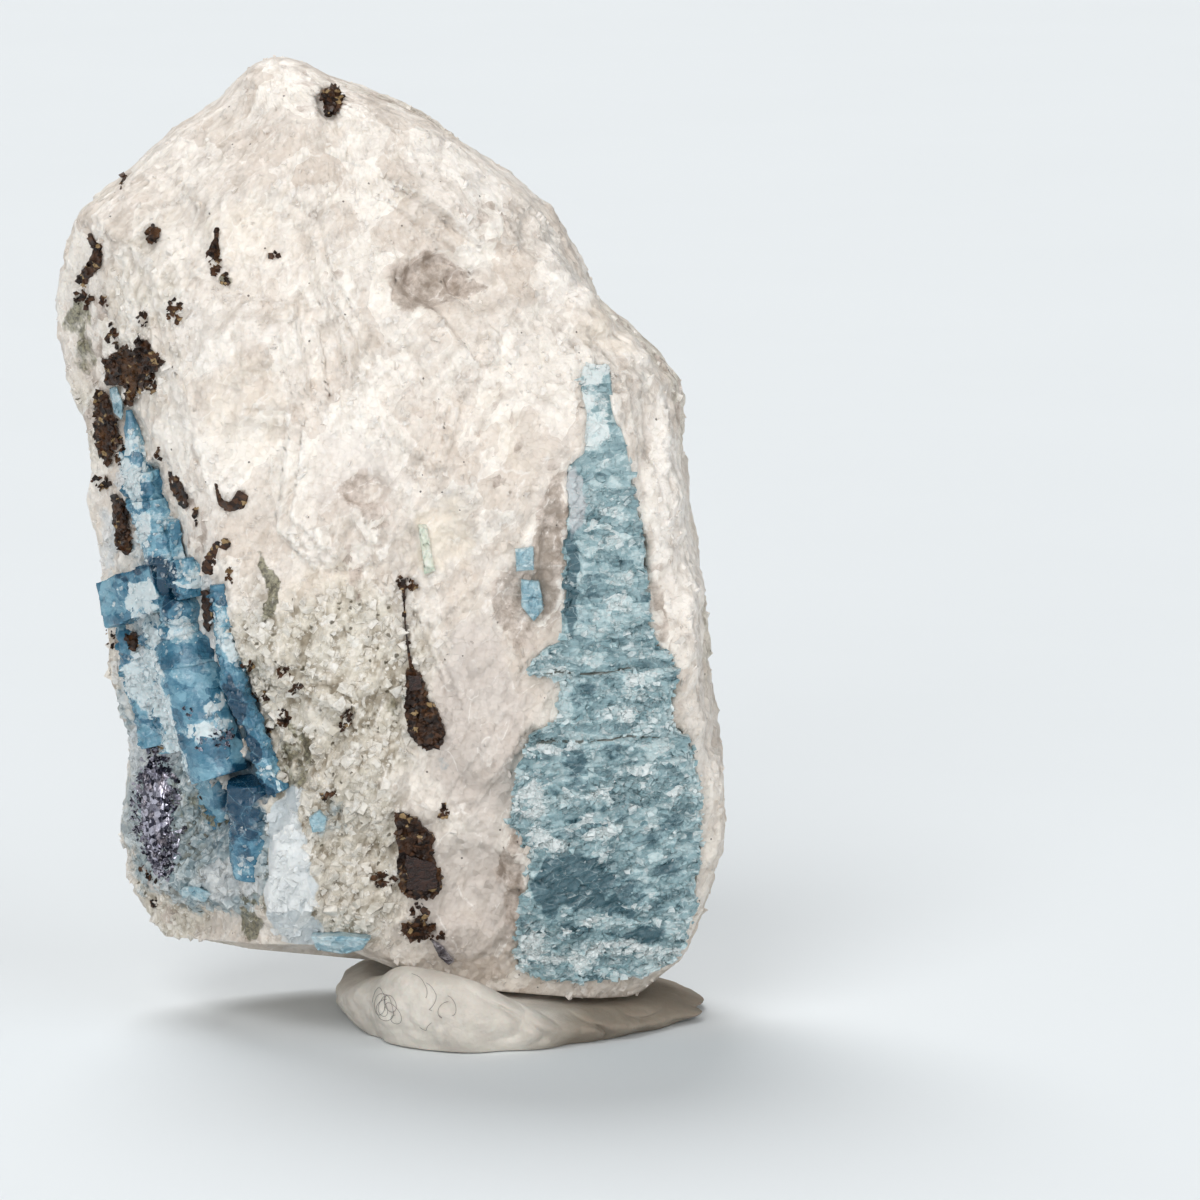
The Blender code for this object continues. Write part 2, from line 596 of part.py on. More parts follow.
def grown_outline(outline, grow):
    """The outline moved outwards by a distance, each corner along its bisector."""
    points = np.array(outline, dtype=float)
    area = np.sum(points[:, 0] * np.roll(points[:, 1], -1) - np.roll(points[:, 0], -1) * points[:, 1])
    if area < 0.0:
        points = points[::-1]
    before = points - np.roll(points, 1, axis=0)
    after = np.roll(points, -1, axis=0) - points
    before /= np.linalg.norm(before, axis=1, keepdims=True)
    after /= np.linalg.norm(after, axis=1, keepdims=True)
    outward = np.stack([before[:, 1] + after[:, 1], -before[:, 0] - after[:, 0]], axis=1)
    squared = np.maximum((outward**2).sum(axis=1, keepdims=True), 0.8)
    return points + outward * 2.0 * grow / squared


def plate(outline, thickness, proud, grow):
    """A flat-sided piece on the rock's face: its outline, then its thickness inwards."""
    bm = bmesh.new()
    reach = POCKET_REACH if grow else 0.0
    level, across, upwards = seat(outline)
    front = [
        bm.verts.new((x, level + across * x + upwards * z - proud - reach, z))
        for x, z in grown_outline(outline, grow)
    ]
    face = bm.faces.new(front)
    extruded = bmesh.ops.extrude_face_region(bm, geom=[face])
    moved = [item for item in extruded["geom"] if isinstance(item, bmesh.types.BMVert)]
    bmesh.ops.translate(bm, vec=Vector((0.0, thickness + reach + grow, 0.0)), verts=moved)
    bmesh.ops.triangulate(bm, faces=bm.faces[:])
    bmesh.ops.recalc_face_normals(bm, faces=bm.faces)
    return bm


def crust(grow):
    """The metallic crust: a flattened sphere with seeded bumps, turned to lie on the flank."""
    bm = bmesh.new()
    bmesh.ops.create_icosphere(bm, subdivisions=3, radius=1.0)
    unit = np.array([vert.co[:] for vert in bm.verts])
    bump = 1.0 + CRUST_BUMP * chips(unit, 0.5, 1.2, 1.0, SEED + 60)
    centre_x, centre_z = CRUST_CENTRE
    points = unit * bump[:, None] * np.array(CRUST_SIZE)
    points += grow * unit
    turn = math.radians(-CRUST_TURN)
    x = points[:, 0] * math.cos(turn) - points[:, 1] * math.sin(turn)
    y = points[:, 0] * math.sin(turn) + points[:, 1] * math.cos(turn)
    centre_y = rock_front(centre_x, centre_z) - 0.1
    for vert, place in zip(bm.verts, np.stack([x + centre_x, y + centre_y, points[:, 2] + centre_z], axis=1)):
        vert.co = place
    return bm


def putty(collection, material):
    """The putty pad: rings from the middle of its flat foot, over its bulging side, to the middle
    of its top, which follows the rock's underside at a small distance."""
    outline = np.array(PUTTY_OUTLINE)
    middle = outline.mean(axis=0)
    corner_angle = np.arctan2(outline[:, 1] - middle[1], outline[:, 0] - middle[0])
    corner_radius = np.linalg.norm(outline - middle, axis=1)
    order = np.argsort(corner_angle)
    angle = np.linspace(-math.pi, math.pi, PUTTY_POINTS, endpoint=False)
    radius = np.interp(angle, corner_angle[order], corner_radius[order], period=2.0 * math.pi)
    radius = (np.roll(radius, 1) + 2.0 * radius + np.roll(radius, -1)) / 4.0
    x_edge = middle[0] + radius * np.cos(angle)
    y_edge = middle[1] + radius * np.sin(angle)
    for fold_x, fold_y, depth in PUTTY_FOLDS:
        near = np.exp(-((x_edge - fold_x) ** 2 + (y_edge - fold_y) ** 2) / 1.2)
        radius = radius - depth * near
    profile = [(0.45, 0.0), (0.97, 0.0), (1.02, 0.12), (1.0, 0.5), (0.97, 0.8), (0.9, 0.97)]
    profile += [(0.75, 1.0), (0.4, 1.0)]
    bm = bmesh.new()
    rings = []
    for share, rise in profile:
        reach = radius * share + PUTTY_BULGE * math.sin(math.pi * min(1.0, rise))
        x = middle[0] + reach * np.cos(angle)
        y = middle[1] + reach * np.sin(angle)
        top = underside_height(x, y) - GAP - 0.1
        rings.append([bm.verts.new((a, b, c)) for a, b, c in zip(x, y, top * rise)])
    for lower, upper in zip(rings, rings[1:]):
        for side in range(PUTTY_POINTS):
            following = (side + 1) % PUTTY_POINTS
            bm.faces.new((lower[side], lower[following], upper[following], upper[side]))
    bm.faces.new(rings[0])
    top_centre = bm.verts.new((middle[0], middle[1], underside_height(middle[0], middle[1]) - GAP - 0.1))
    for side in range(PUTTY_POINTS):
        bm.faces.new((rings[-1][side], rings[-1][(side + 1) % PUTTY_POINTS], top_centre))
    return add_object(bm, "putty_stand", collection, material)


def build():
    for obj in list(bpy.data.objects):
        bpy.data.objects.remove(obj, do_unlink=True)
    parts = new_collection("aquamarine_specimen")
    quartz = new_material("quartz", (0.86, 0.81, 0.76), 0.45)
    beryl = new_material("blue_beryl", (0.25, 0.52, 0.62), 0.3)
    pale_beryl = new_material("pale_beryl", (0.55, 0.72, 0.76), 0.3)
    green_beryl = new_material("green_beryl", (0.66, 0.74, 0.64), 0.35)
    mica = new_material("mica", (0.13, 0.08, 0.05), 0.35, 0.2)
    blades = new_material("grey_blades", (0.35, 0.32, 0.34), 0.35)
    metallic = new_material("metallic_crust", (0.16, 0.15, 0.2), 0.3, 0.7)
    clay = new_material("putty", (0.75, 0.7, 0.63), 0.75)

    matrix = rock(parts, quartz)
    hidden = new_collection("cutters", hidden=True)

    cluster = add_object(cluster_prism(LEFT_CLUSTER["barrel"], 0.0), "aquamarine_left_cluster", parts, beryl)
    cluster_pocket = add_object(cluster_prism(LEFT_CLUSTER["barrel"], GAP), "cluster_pocket", hidden)
    members = {name: values for name, values in LEFT_CLUSTER.items() if name != "barrel"}
    boolean(cluster, "UNION", [add_object(cluster_prism(v, 0.0), n, hidden) for n, v in members.items()])
    boolean(cluster, "UNION", [add_object(cluster_block(0.0), "block", hidden)])
    boolean(
        cluster_pocket,
        "UNION",
        [add_object(cluster_prism(v, GAP), f"{n}_pocket", hidden) for n, v in members.items()],
    )
    boolean(cluster_pocket, "UNION", [add_object(cluster_block(GAP), "block_pocket", hidden)])

    plate_pockets = []
    for name, (outline, thickness, proud) in {**SMALL_CRYSTALS, **MICA_PLATES}.items():
        if name in SMALL_CRYSTALS:
            finish = green_beryl if name == "green_crystal" else pale_beryl
        else:
            finish = blades if name == "grey_crystals" else mica
        add_object(plate(outline, thickness, proud, 0.0), name, parts, finish)
        plate_pockets.append(add_object(plate(outline, thickness, proud, GAP), f"{name}_pocket", hidden))

    add_object(crust(0.0), "sparkling_crust", parts, metallic)
    crust_pocket = add_object(crust(GAP), "crust_pocket", hidden)
    add_object(lofted_crystal(0.0), "aquamarine_right", parts, beryl)
    right_pocket = add_object(lofted_crystal(GAP), "right_pocket", hidden)

    touching = [pocket for pocket in plate_pockets if pocket.name.removesuffix("_pocket") in BESIDE_CLUSTER]
    boolean(cluster, "DIFFERENCE", touching + [crust_pocket])
    boolean(matrix, "DIFFERENCE", [cluster_pocket, right_pocket, crust_pocket, *plate_pockets])
    putty(parts, clay)


build()
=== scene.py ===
# %% [markdown]
# # Aquamarine in quartz, standing on putty
#
# The solids of this specimen are loaded as a fixed frame. This lesson gives each of them the
# finish of the real thing: broken quartz and feldspar, stepped blue crystals, books of brown
# mica, a crust of metallic flakes and kneaded putty. Lengths are in millimetres until a mesh is
# made, because that is how a collector would measure it.

# %% Load the frame
import math

import bpy
import numpy as np
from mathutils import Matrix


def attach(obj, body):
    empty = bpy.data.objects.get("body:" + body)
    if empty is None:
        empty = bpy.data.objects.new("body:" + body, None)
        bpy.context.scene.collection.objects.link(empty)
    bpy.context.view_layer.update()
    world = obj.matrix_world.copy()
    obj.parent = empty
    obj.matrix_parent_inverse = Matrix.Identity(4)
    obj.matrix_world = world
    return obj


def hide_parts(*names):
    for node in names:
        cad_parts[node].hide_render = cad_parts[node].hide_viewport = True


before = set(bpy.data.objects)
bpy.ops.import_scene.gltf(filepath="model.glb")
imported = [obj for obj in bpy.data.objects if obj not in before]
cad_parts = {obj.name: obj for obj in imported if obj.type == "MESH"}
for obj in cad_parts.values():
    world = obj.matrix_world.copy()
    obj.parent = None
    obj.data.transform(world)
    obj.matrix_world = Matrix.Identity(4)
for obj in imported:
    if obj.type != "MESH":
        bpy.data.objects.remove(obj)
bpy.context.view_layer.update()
MM = 0.001
SEED = 7
print("nodes:", len(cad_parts))

# %% [markdown]
# ## Camera
#
# The photographer stood far off with a long lens and looked down by nine degrees. A long lens
# keeps the sides of the rock nearly parallel, so the same place and lens give the same outline.
# The solids were moved a little sideways to stand over the origin, and the camera moves with them.

# %% Place the camera
CENTRE_SHIFT = 0.27
CAMERA_PLACE = (12.2 + CENTRE_SHIFT, -553.24, 113.02)
LOOK_DOWN = math.radians(9.0)

camera_data = bpy.data.cameras.new("camera")
camera_data.lens = 280.0
camera_data.sensor_width = 36.0
camera = bpy.data.objects.new("camera", camera_data)
camera.location = [MM * value for value in CAMERA_PLACE]
camera.rotation_euler = (math.pi / 2.0 - LOOK_DOWN, 0.0, 0.0)
bpy.context.scene.collection.objects.link(camera)
bpy.context.scene.camera = camera

# %% [markdown]
# ## Light and floor
#
# A light tent gives even light from all round, and a big lamp above and to the left of the
# camera gives the soft shadow that falls to the right. Sun lamps are used because their light is
# equal over the whole floor, so the floor keeps one colour up to the edge of the picture.

# %% Light the table
FLOOR_SIZE = 6000.0
TENT_STRENGTH = 0.185


def linear(red, green, blue):
    """A colour as read from a picture, 0 to 255, made linear for the shaders."""
    values = np.array([red, green, blue]) / 255.0
    return tuple(np.where(values < 0.04045, values / 12.92, ((values + 0.055) / 1.055) ** 2.4))


def sun(name, strength, spread, turn, height):
    """A sun lamp. turn is its compass place, 0 at the camera and positive to the right."""
    data = bpy.data.lights.new(name, "SUN")
    data.energy = strength
    data.angle = math.radians(spread)
    lamp = bpy.data.objects.new(name, data)
    lamp.rotation_euler = (math.radians(90.0 - height), 0.0, math.radians(turn))
    bpy.context.scene.collection.objects.link(lamp)
    return lamp


world = bpy.data.worlds.new("tent")
bpy.context.scene.world = world
world.use_nodes = True
world.node_tree.nodes["Background"].inputs["Color"].default_value = (*linear(255, 254, 252), 1.0)
world.node_tree.nodes["Background"].inputs["Strength"].default_value = TENT_STRENGTH
sun("key lamp", 0.88, 26.0, -24.0, 46.0)
sun("front lamp", 1.2, 34.0, -9.0, 15.0)
sun("right lamp", 0.9, 50.0, 50.0, 24.0)
sun("back lamp", 1.82, 34.0, -156.0, 54.0)
bpy.context.scene.view_settings.view_transform = "Standard"

# %% [markdown]
# ## Random numbers that never change
#
# Broken rock is random, but the same specimen has to come out each time. So every random number
# here comes from mixing the bits of a cell's whole-number place. Two patterns are built on it:
# smooth noise, which blends the numbers at the corners of its cells, and chips, where each point
# takes the tilted plane of the nearest cell, as rock that broke in flat facets does.

# %% Noise and chips


def cell_random(cells, seed):
    """Numbers from 0 to 1 for whole-number cells: products with large primes, with mixed bits."""
    cells = cells.astype(np.int64)
    mixed = cells[..., 0] * 73856093 ^ cells[..., 1] * 19349663 ^ cells[..., 2] * 83492791
    mixed = (mixed ^ seed * 2654435761) & 0xFFFFFFFF
    for _ in range(2):
        mixed = ((mixed ^ (mixed >> 16)) * 73244475) & 0xFFFFFFFF
    return (mixed ^ (mixed >> 16)) / 4294967295.0


def smooth_noise(points, size, seed):
    """From -1 to 1: the random numbers of a cell's eight corners, weighted by t * t * (3 - 2 t)."""
    scaled = points / size
    base = np.floor(scaled)
    part = scaled - base
    part = part * part * (3.0 - 2.0 * part)
    total = 0.0
    for corner in np.ndindex(2, 2, 2):
        weight = np.prod(np.where(np.array(corner) == 1, part, 1.0 - part), axis=-1)
        total = total + weight * cell_random(base + corner, seed)
    return 2.0 * total - 1.0


def chips(points, size, tilt, step, seed):
    """Relief of broken rock: the nearest jittered cell's tilted plane, slope times distance,
    plus that cell's own step up or down."""
    scaled = points / size
    base = np.floor(scaled)
    nearest = np.full(points.shape[:-1], 9.0)
    relief = np.zeros(points.shape[:-1])
    for offset in np.ndindex(3, 3, 3):
        cell = base + offset - 1.0
        jitter = np.stack([cell_random(cell, seed + axis) for axis in range(3)], axis=-1)
        away = scaled - (cell + jitter)
        distance = (away**2).sum(axis=-1)
        slope = np.stack([cell_random(cell, seed + 3 + axis) - 0.5 for axis in range(3)], axis=-1)
        height = 2.0 * tilt * size * (slope * away).sum(axis=-1) + step * (cell_random(cell, seed + 6) - 0.5)
        closer = distance < nearest
        relief = np.where(closer, height, relief)
        nearest = np.where(closer, distance, nearest)
    return relief


def leaned(points, lean, stretch):
    """The same points in a frame that leans to the right and is squeezed along its own height, so
    that a pattern read there comes out long and leaning."""
    turn = math.radians(lean)
    across = points[..., 0] * math.cos(turn) - points[..., 2] * math.sin(turn)
    along = points[..., 0] * math.sin(turn) + points[..., 2] * math.cos(turn)
    return np.stack([across, points[..., 1], along / stretch], axis=-1)


# %% [markdown]
# ## From points to a piece
#
# Every new piece is a grid of points worked out as whole arrays. Rows go along the piece and
# columns go round it, and the last column joins the first. A point at each end closes it.

# %% Mesh helpers


def closed_grid(points):
    """Points and faces of a grid (rows, columns, 3) that closes round. The two tips are the means
    of the first and last row, each joined to its row by a fan."""
    rows, columns, _ = points.shape
    index = np.arange(rows * columns).reshape(rows, columns)
    following = np.roll(index, -1, axis=1)
    quads = np.stack([index[:-1], following[:-1], following[1:], index[1:]], axis=-1).reshape(-1, 4)
    first_tip, last_tip = rows * columns, rows * columns + 1
    first_fan = np.stack([following[0], index[0], np.full(columns, first_tip)], axis=-1)
    last_fan = np.stack([index[-1], following[-1], np.full(columns, last_tip)], axis=-1)
    tips = [points[0].mean(axis=0), points[-1].mean(axis=0)]
    return np.concatenate([points.reshape(-1, 3), tips]), [quads, first_fan, last_fan]


def joined(parts):
    """One set of points and faces from several."""
    points, faces, start = [], [], 0
    for part_points, part_faces in parts:
        points.append(part_points)
        faces += [group + start for group in part_faces]
        start += len(part_points)
    return np.concatenate(points), faces


def make_piece(name, shape, material, replaced, smooth=True):
    """A mesh object from points in millimetres and groups of faces, riding on the specimen."""
    points, faces = shape
    mesh = bpy.data.meshes.new(name)
    corners = np.concatenate([group.ravel() for group in faces])
    sizes = np.concatenate([np.full(len(group), group.shape[1]) for group in faces])
    mesh.vertices.add(len(points))
    mesh.vertices.foreach_set("co", ((points + (CENTRE_SHIFT, 0.0, 0.0)) * MM).ravel())
    mesh.loops.add(len(corners))
    mesh.loops.foreach_set("vertex_index", corners)
    mesh.polygons.add(len(sizes))
    mesh.polygons.foreach_set("loop_start", np.concatenate([[0], np.cumsum(sizes)[:-1]]))
    mesh.polygons.foreach_set("use_smooth", np.full(len(sizes), smooth))
    mesh.update(calc_edges=True)
    mesh.validate()
    mesh.materials.append(material)
    piece = bpy.data.objects.new(name, mesh)
    bpy.context.scene.collection.objects.link(piece)
    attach(piece, "root")
    if replaced:
        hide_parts(*replaced)
    print(name, len(points), "points", sum(len(group) * (group.shape[1] - 2) for group in faces), "triangles")
    return piece


def grid_normals(points):
    """The outward directions of a closed grid and the area round each point: the cross product of
    the step round the piece and the step along it."""
    along = np.gradient(points, axis=0)
    across = (np.roll(points, -1, axis=1) - np.roll(points, 1, axis=1)) / 2.0
    normal = np.cross(across, along)
    area = np.linalg.norm(normal, axis=-1)
    return normal / np.maximum(area, 1e-9)[..., None], area


def strewn(points, weights, count, seed):
    """Numbers of grid points picked at random, more often where the weight and the area are great."""
    share = (np.clip(weights, 0.0, None) * grid_normals(points)[1]).ravel()
    return np.random.default_rng(seed).choice(share.size, count, p=share / share.sum())


# The twelve triangles of a box whose corners are numbered 4 i + 2 j + k.
BOX_FACES = np.array(
    [(4, 6, 7), (4, 7, 5), (0, 1, 3), (0, 3, 2), (2, 3, 7), (2, 7, 6), (0, 4, 5), (0, 5, 1), (1, 5, 7), (1, 7, 3),
     (0, 2, 6), (0, 6, 4)]
)


def grains(middles, outward, along, half, seed):
    """Angular grains: boxes with half sizes (along, across, out), whose eight corners are pulled in
    by random shares, in a frame made square from the two given directions."""
    rng = np.random.default_rng(seed)
    first = along + rng.normal(0.0, 0.45, middles.shape)
    first /= np.linalg.norm(first, axis=-1, keepdims=True)
    second = np.cross(outward + rng.normal(0.0, 0.3, middles.shape), first)
    second /= np.linalg.norm(second, axis=-1, keepdims=True)
    third = np.cross(first, second)
    corners = np.array(list(np.ndindex(2, 2, 2))) * 2.0 - 1.0
    reach = half[:, None, :] * corners * rng.uniform(0.25, 1.15, (len(middles), 8, 3))
    frame_axes = np.stack([first, second, third], axis=1)
    points = middles[:, None, :] + reach @ frame_axes
    faces = BOX_FACES[None] + 8 * np.arange(len(middles))[:, None, None]
    return points.reshape(-1, 3), [faces.reshape(-1, 3)]


def paint(piece, name, values):
    """Stores a number at each point of a piece, for its material to read."""
    attribute = piece.data.attributes.new(name, "FLOAT", "POINT")
    attribute.data.foreach_set("value", values.astype(np.float32).ravel())


# %% [markdown]
# ## Finishes written as sums
#
# A finish is a tree of nodes. Wired one by one it is hard to read, so a small class stands for
# "a number that changes over the surface" and turns + - * / into Math nodes.

# %% Finish helpers


class Field:
    """A number that changes over a surface. Sums and products of fields add Math nodes."""

    def __init__(self, finish, socket):
        self.finish = finish
        self.socket = socket

    def __add__(self, other):
        return self.finish.maths("ADD", self, other)

    __radd__ = __add__

    def __sub__(self, other):
        return self.finish.maths("SUBTRACT", self, other)

    def __rsub__(self, other):
        return self.finish.maths("SUBTRACT", other, self)

    def __mul__(self, other):
        return self.finish.maths("MULTIPLY", self, other)

    __rmul__ = __mul__

    def __truediv__(self, other):
        return self.finish.maths("DIVIDE", self, other)

    def rise(self, low, high):
        """0 below low, 1 above high, and a smooth step between them. Low may be the greater."""
        node = self.finish.node(
            "ShaderNodeMapRange",
            {"interpolation_type": "SMOOTHSTEP"},
            {"Value": self, "From Min": low, "From Max": high},
        )
        return Field(self.finish, node.outputs["Result"])


class Finish:
    """A material with a Principled shader, whose patterns are read in millimetres."""

    def __init__(self, name, **constants):
        self.material = bpy.data.materials.new(name)
        self.material.use_nodes = True
        self.tree = self.material.node_tree
        self.shader = self.tree.nodes["Principled BSDF"]
        for label, value in constants.items():
            self.shader.inputs[label.replace("_", " ").title()].default_value = value
        where = self.node("ShaderNodeTexCoord").outputs["Object"]
        scaled = self.node("ShaderNodeVectorMath", {"operation": "SCALE"}, {0: where, "Scale": 1.0 / MM})
        self.place = scaled.outputs["Vector"]

    def node(self, kind, settings=None, inputs=None):
        """A node of a type, with its settings set first, then its sockets' values or links."""
        node = self.tree.nodes.new(kind)
        for label, value in (settings or {}).items():
            setattr(node, label, value)
        for label, value in (inputs or {}).items():
            value = value.socket if isinstance(value, Field) else value
            if isinstance(value, bpy.types.NodeSocket):
                self.tree.links.new(value, node.inputs[label])
            else:
                node.inputs[label].default_value = value
        return node

    def maths(self, operation, first, second):
        node = self.node("ShaderNodeMath", {"operation": operation}, {0: first, 1: second})
        return Field(self, node.outputs[0])

    def attribute(self, name):
        """What paint() stored on the piece."""
        return Field(self, self.node("ShaderNodeAttribute", {"attribute_name": name}).outputs["Fac"])

    def axis(self, letter):
        """A place's X, Y or Z in millimetres."""
        return Field(self, self.node("ShaderNodeSeparateXYZ", None, {0: self.place}).outputs[letter])

    def height(self):
        """Height above the ground, in millimetres."""
        return self.axis("Z")

    def turned(self, size, lean=0.0, place=None):
        """Places in cells of a size (x, y, z) that lean to the right by an angle."""
        settings = {"vector_type": "TEXTURE"}
        inputs = {"Vector": place or self.place, "Rotation": (0.0, math.radians(lean), 0.0), "Scale": size}
        return self.node("ShaderNodeMapping", settings, inputs).outputs["Vector"]

    def warped(self, place, size, amount):
        """Places pushed about by noise."""
        inputs = {"Vector": place, "Scale": 1.0 / size, "Detail": 2.0}
        colour = self.node("ShaderNodeTexNoise", None, inputs).outputs["Color"]
        shift = self.node("ShaderNodeVectorMath", {"operation": "SUBTRACT"}, {0: colour, 1: (0.5, 0.5, 0.5)})
        scaled = self.node("ShaderNodeVectorMath", {"operation": "SCALE"}, {0: shift.outputs[0], "Scale": amount})
        return self.node("ShaderNodeVectorMath", {"operation": "ADD"}, {0: place, 1: scaled.outputs[0]}).outputs[0]

    def noise(self, size, detail=4.0, roughness=0.6, place=None):
        """Cloudy noise from 0 to 1, mostly near 0.5, with clouds about a size across."""
        inputs = {"Vector": place or self.place, "Scale": 1.0 / size, "Detail": detail, "Roughness": roughness}
        return Field(self, self.node("ShaderNodeTexNoise", None, inputs).outputs["Fac"])

    def cells(self, size, place=None, measure="EUCLIDEAN"):
        """Cells about a size across: distance from the centre, a random number, distance to the seam."""
        inputs = {"Vector": place or self.place, "Scale": 1.0 / size}
        cell = self.node("ShaderNodeTexVoronoi", {"distance": measure}, inputs)
        seam = self.node("ShaderNodeTexVoronoi", {"feature": "DISTANCE_TO_EDGE"}, inputs)
        number = self.node("ShaderNodeSeparateColor", None, {0: cell.outputs["Color"]})
        fields = [cell.outputs["Distance"], number.outputs["Red"], seam.outputs["Distance"]]
        return [Field(self, socket) for socket in fields]

    def facets(self, size, place=None):
        """Relief of flat chips about a size across: each cell's random direction times the way from
        the cell's middle."""
        place = place or self.place
        cell = self.node("ShaderNodeTexVoronoi", None, {"Vector": place, "Scale": 1.0 / size})
        away = self.node("ShaderNodeVectorMath", {"operation": "SUBTRACT"}, {0: place, 1: cell.outputs["Position"]})
        lean = self.node("ShaderNodeVectorMath", {"operation": "SUBTRACT"}, {0: cell.outputs["Color"], 1: (0.5, 0.5, 0.5)})
        dot = self.node("ShaderNodeVectorMath", {"operation": "DOT_PRODUCT"}, {0: away.outputs[0], 1: lean.outputs[0]})
        return Field(self, dot.outputs["Value"])

    def blend(self, mask, first, second, mode="MIX"):
        """The first colour where the mask is 0 and the second where it is 1."""
        inputs = {0: mask}
        for place, colour in ((6, first), (7, second)):
            inputs[place] = colour if isinstance(colour, bpy.types.NodeSocket) else (*colour, 1.0)
        settings = {"data_type": "RGBA", "blend_type": mode}
        return self.node("ShaderNodeMix", settings, inputs).outputs[2]

    def wire(self, label, value):
        """Feeds one of the shader's sockets."""
        self.tree.links.new(value.socket if isinstance(value, Field) else value, self.shader.inputs[label])

    def bump(self, height, depth):
        """Fine relief: a field from 0 to 1 that stands for a depth in millimetres."""
        node = self.node("ShaderNodeBump", None, {"Height": height, "Distance": depth * MM, "Strength": 1.0})
        self.wire("Normal", node.outputs["Normal"])


# %% [markdown]
# ## The floor
#
# A plain pale table. Very weak clouds keep it from looking like paper cut out by a machine.

# %% Make the floor
floor_mesh = bpy.data.meshes.new("floor")
half = FLOOR_SIZE * MM / 2.0
corners = [(-half, -half, 0.0), (half, -half, 0.0), (half, half, 0.0), (-half, half, 0.0)]
floor_mesh.from_pydata(corners, [], [(0, 1, 2, 3)])
floor = bpy.data.objects.new("floor", floor_mesh)
bpy.context.scene.collection.objects.link(floor)
floor_finish = Finish("pale table", roughness=0.9)
clouds = floor_finish.noise(60.0).rise(0.3, 0.7)
floor_finish.wire("Base Color", floor_finish.blend(clouds, linear(226, 231, 234), linear(227, 232, 235)))
floor_mesh.materials.append(floor_finish.material)

# %% [markdown]
# ## The rock's form
#
# The rock is a broken slab. Its outline changes with height, so it is kept as a table of
# sections: the left and right edge as measured on the photograph, and the depths to the front
# and back. Between the rows the section is a rounded box. Flat breaks cut it, and lumps and pits
# are added to its front. These are the same driving numbers as the solid's.

# %% Numbers of the rock

# Height, left edge, right edge, depth to the front, depth to the back.
ROCK_SECTIONS = np.array(
    [
        (2.0, -9.0, 15.0, 7.0, 9.0),
        (4.2, -13.6, 17.2, 8.2, 10.4),
        (6.0, -15.3, 18.2, 8.6, 11.0),
        (8.0, -16.3, 18.9, 9.1, 11.4),
        (10.5, -16.6, 19.5, 9.6, 11.8),
        (13.0, -16.2, 19.6, 10.0, 12.0),
        (16.0, -16.0, 19.5, 10.4, 12.3),
        (20.0, -17.1, 19.9, 10.8, 12.5),
        (24.2, -17.7, 19.9, 11.0, 12.5),
        (28.0, -18.0, 18.3, 11.0, 12.5),
        (31.2, -18.6, 17.4, 11.0, 12.4),
        (33.0, -18.1, 17.6, 11.0, 12.3),
        (36.0, -18.7, 17.5, 10.9, 12.1),
        (38.7, -19.7, 16.7, 10.6, 11.8),
        (41.4, -20.1, 14.1, 10.2, 11.4),
        (43.4, -20.1, 11.9, 9.8, 11.0),
        (46.0, -19.7, 11.1, 9.3, 10.3),
        (48.6, -19.1, 9.4, 8.6, 9.4),
        (50.6, -16.4, 7.3, 7.8, 8.4),
        (52.4, -14.5, 4.9, 6.8, 7.3),
        (54.0, -12.5, 2.6, 5.8, 6.2),
        (55.4, -10.5, -0.1, 4.4, 5.0),
        (56.8, -9.2, -4.0, 2.6, 3.6),
        (57.6, -8.4, -5.2, 1.4, 2.4),
        (58.0, -7.4, -6.4, 0.4, 1.2),
    ]
)
ROCK_SQUARENESS = 2.8
EDGE_TAPER = 3.0
UNDERSIDE_FADE = 2.5

# Side fractures, each through three points of the rock's surface.
SIDE_FRACTURES = [
    ((-14.4, -8.6, 49.0), (-7.2, -10.0, 11.0), (-18.0, 0.5, 29.0)),
    ((-16.5, 5.0, 44.0), (-14.5, 7.0, 12.0), (-9.0, 11.3, 30.0)),
    ((17.0, 3.0, 36.0), (19.0, 4.0, 14.0), (12.0, 11.2, 30.0)),
    ((16.2, -6.5, 36.0), (18.6, -6.0, 16.0), (18.4, -2.0, 22.0)),
    ((-6.0, 10.9, 40.0), (4.0, 11.8, 38.0), (-1.0, 9.2, 48.0)),
    ((-4.0, 12.0, 22.0), (10.0, 11.5, 24.0), (4.0, 10.6, 8.0)),
]

# Flat breaks: compass turn of the face from +X, tilt upwards, both in degrees, and depth of cut.
FLAT_BREAKS = [
    (90, 2, 1.3),
    (62, 14, 1.5),
    (120, -12, 1.5),
    (100, 38, 1.7),
    (75, -34, 1.6),
    (48, -8, 1.3),
    (136, 18, 1.3),
    (-84, 26, 0.9),
    (-60, 34, 1.0),
    (-112, 36, 0.9),
    (-88, -24, 0.7),
    (-60, -10, 0.6),
    (-42, 12, 0.8),
]

# The underside: height = a + b * x + c * y. It rises to the left from the first plane along the
# second, up to the third.
UNDERSIDES = [(3.3, -0.1, -0.02), (0.2, -0.4, -0.6), (4.8, 0.0, -0.14)]

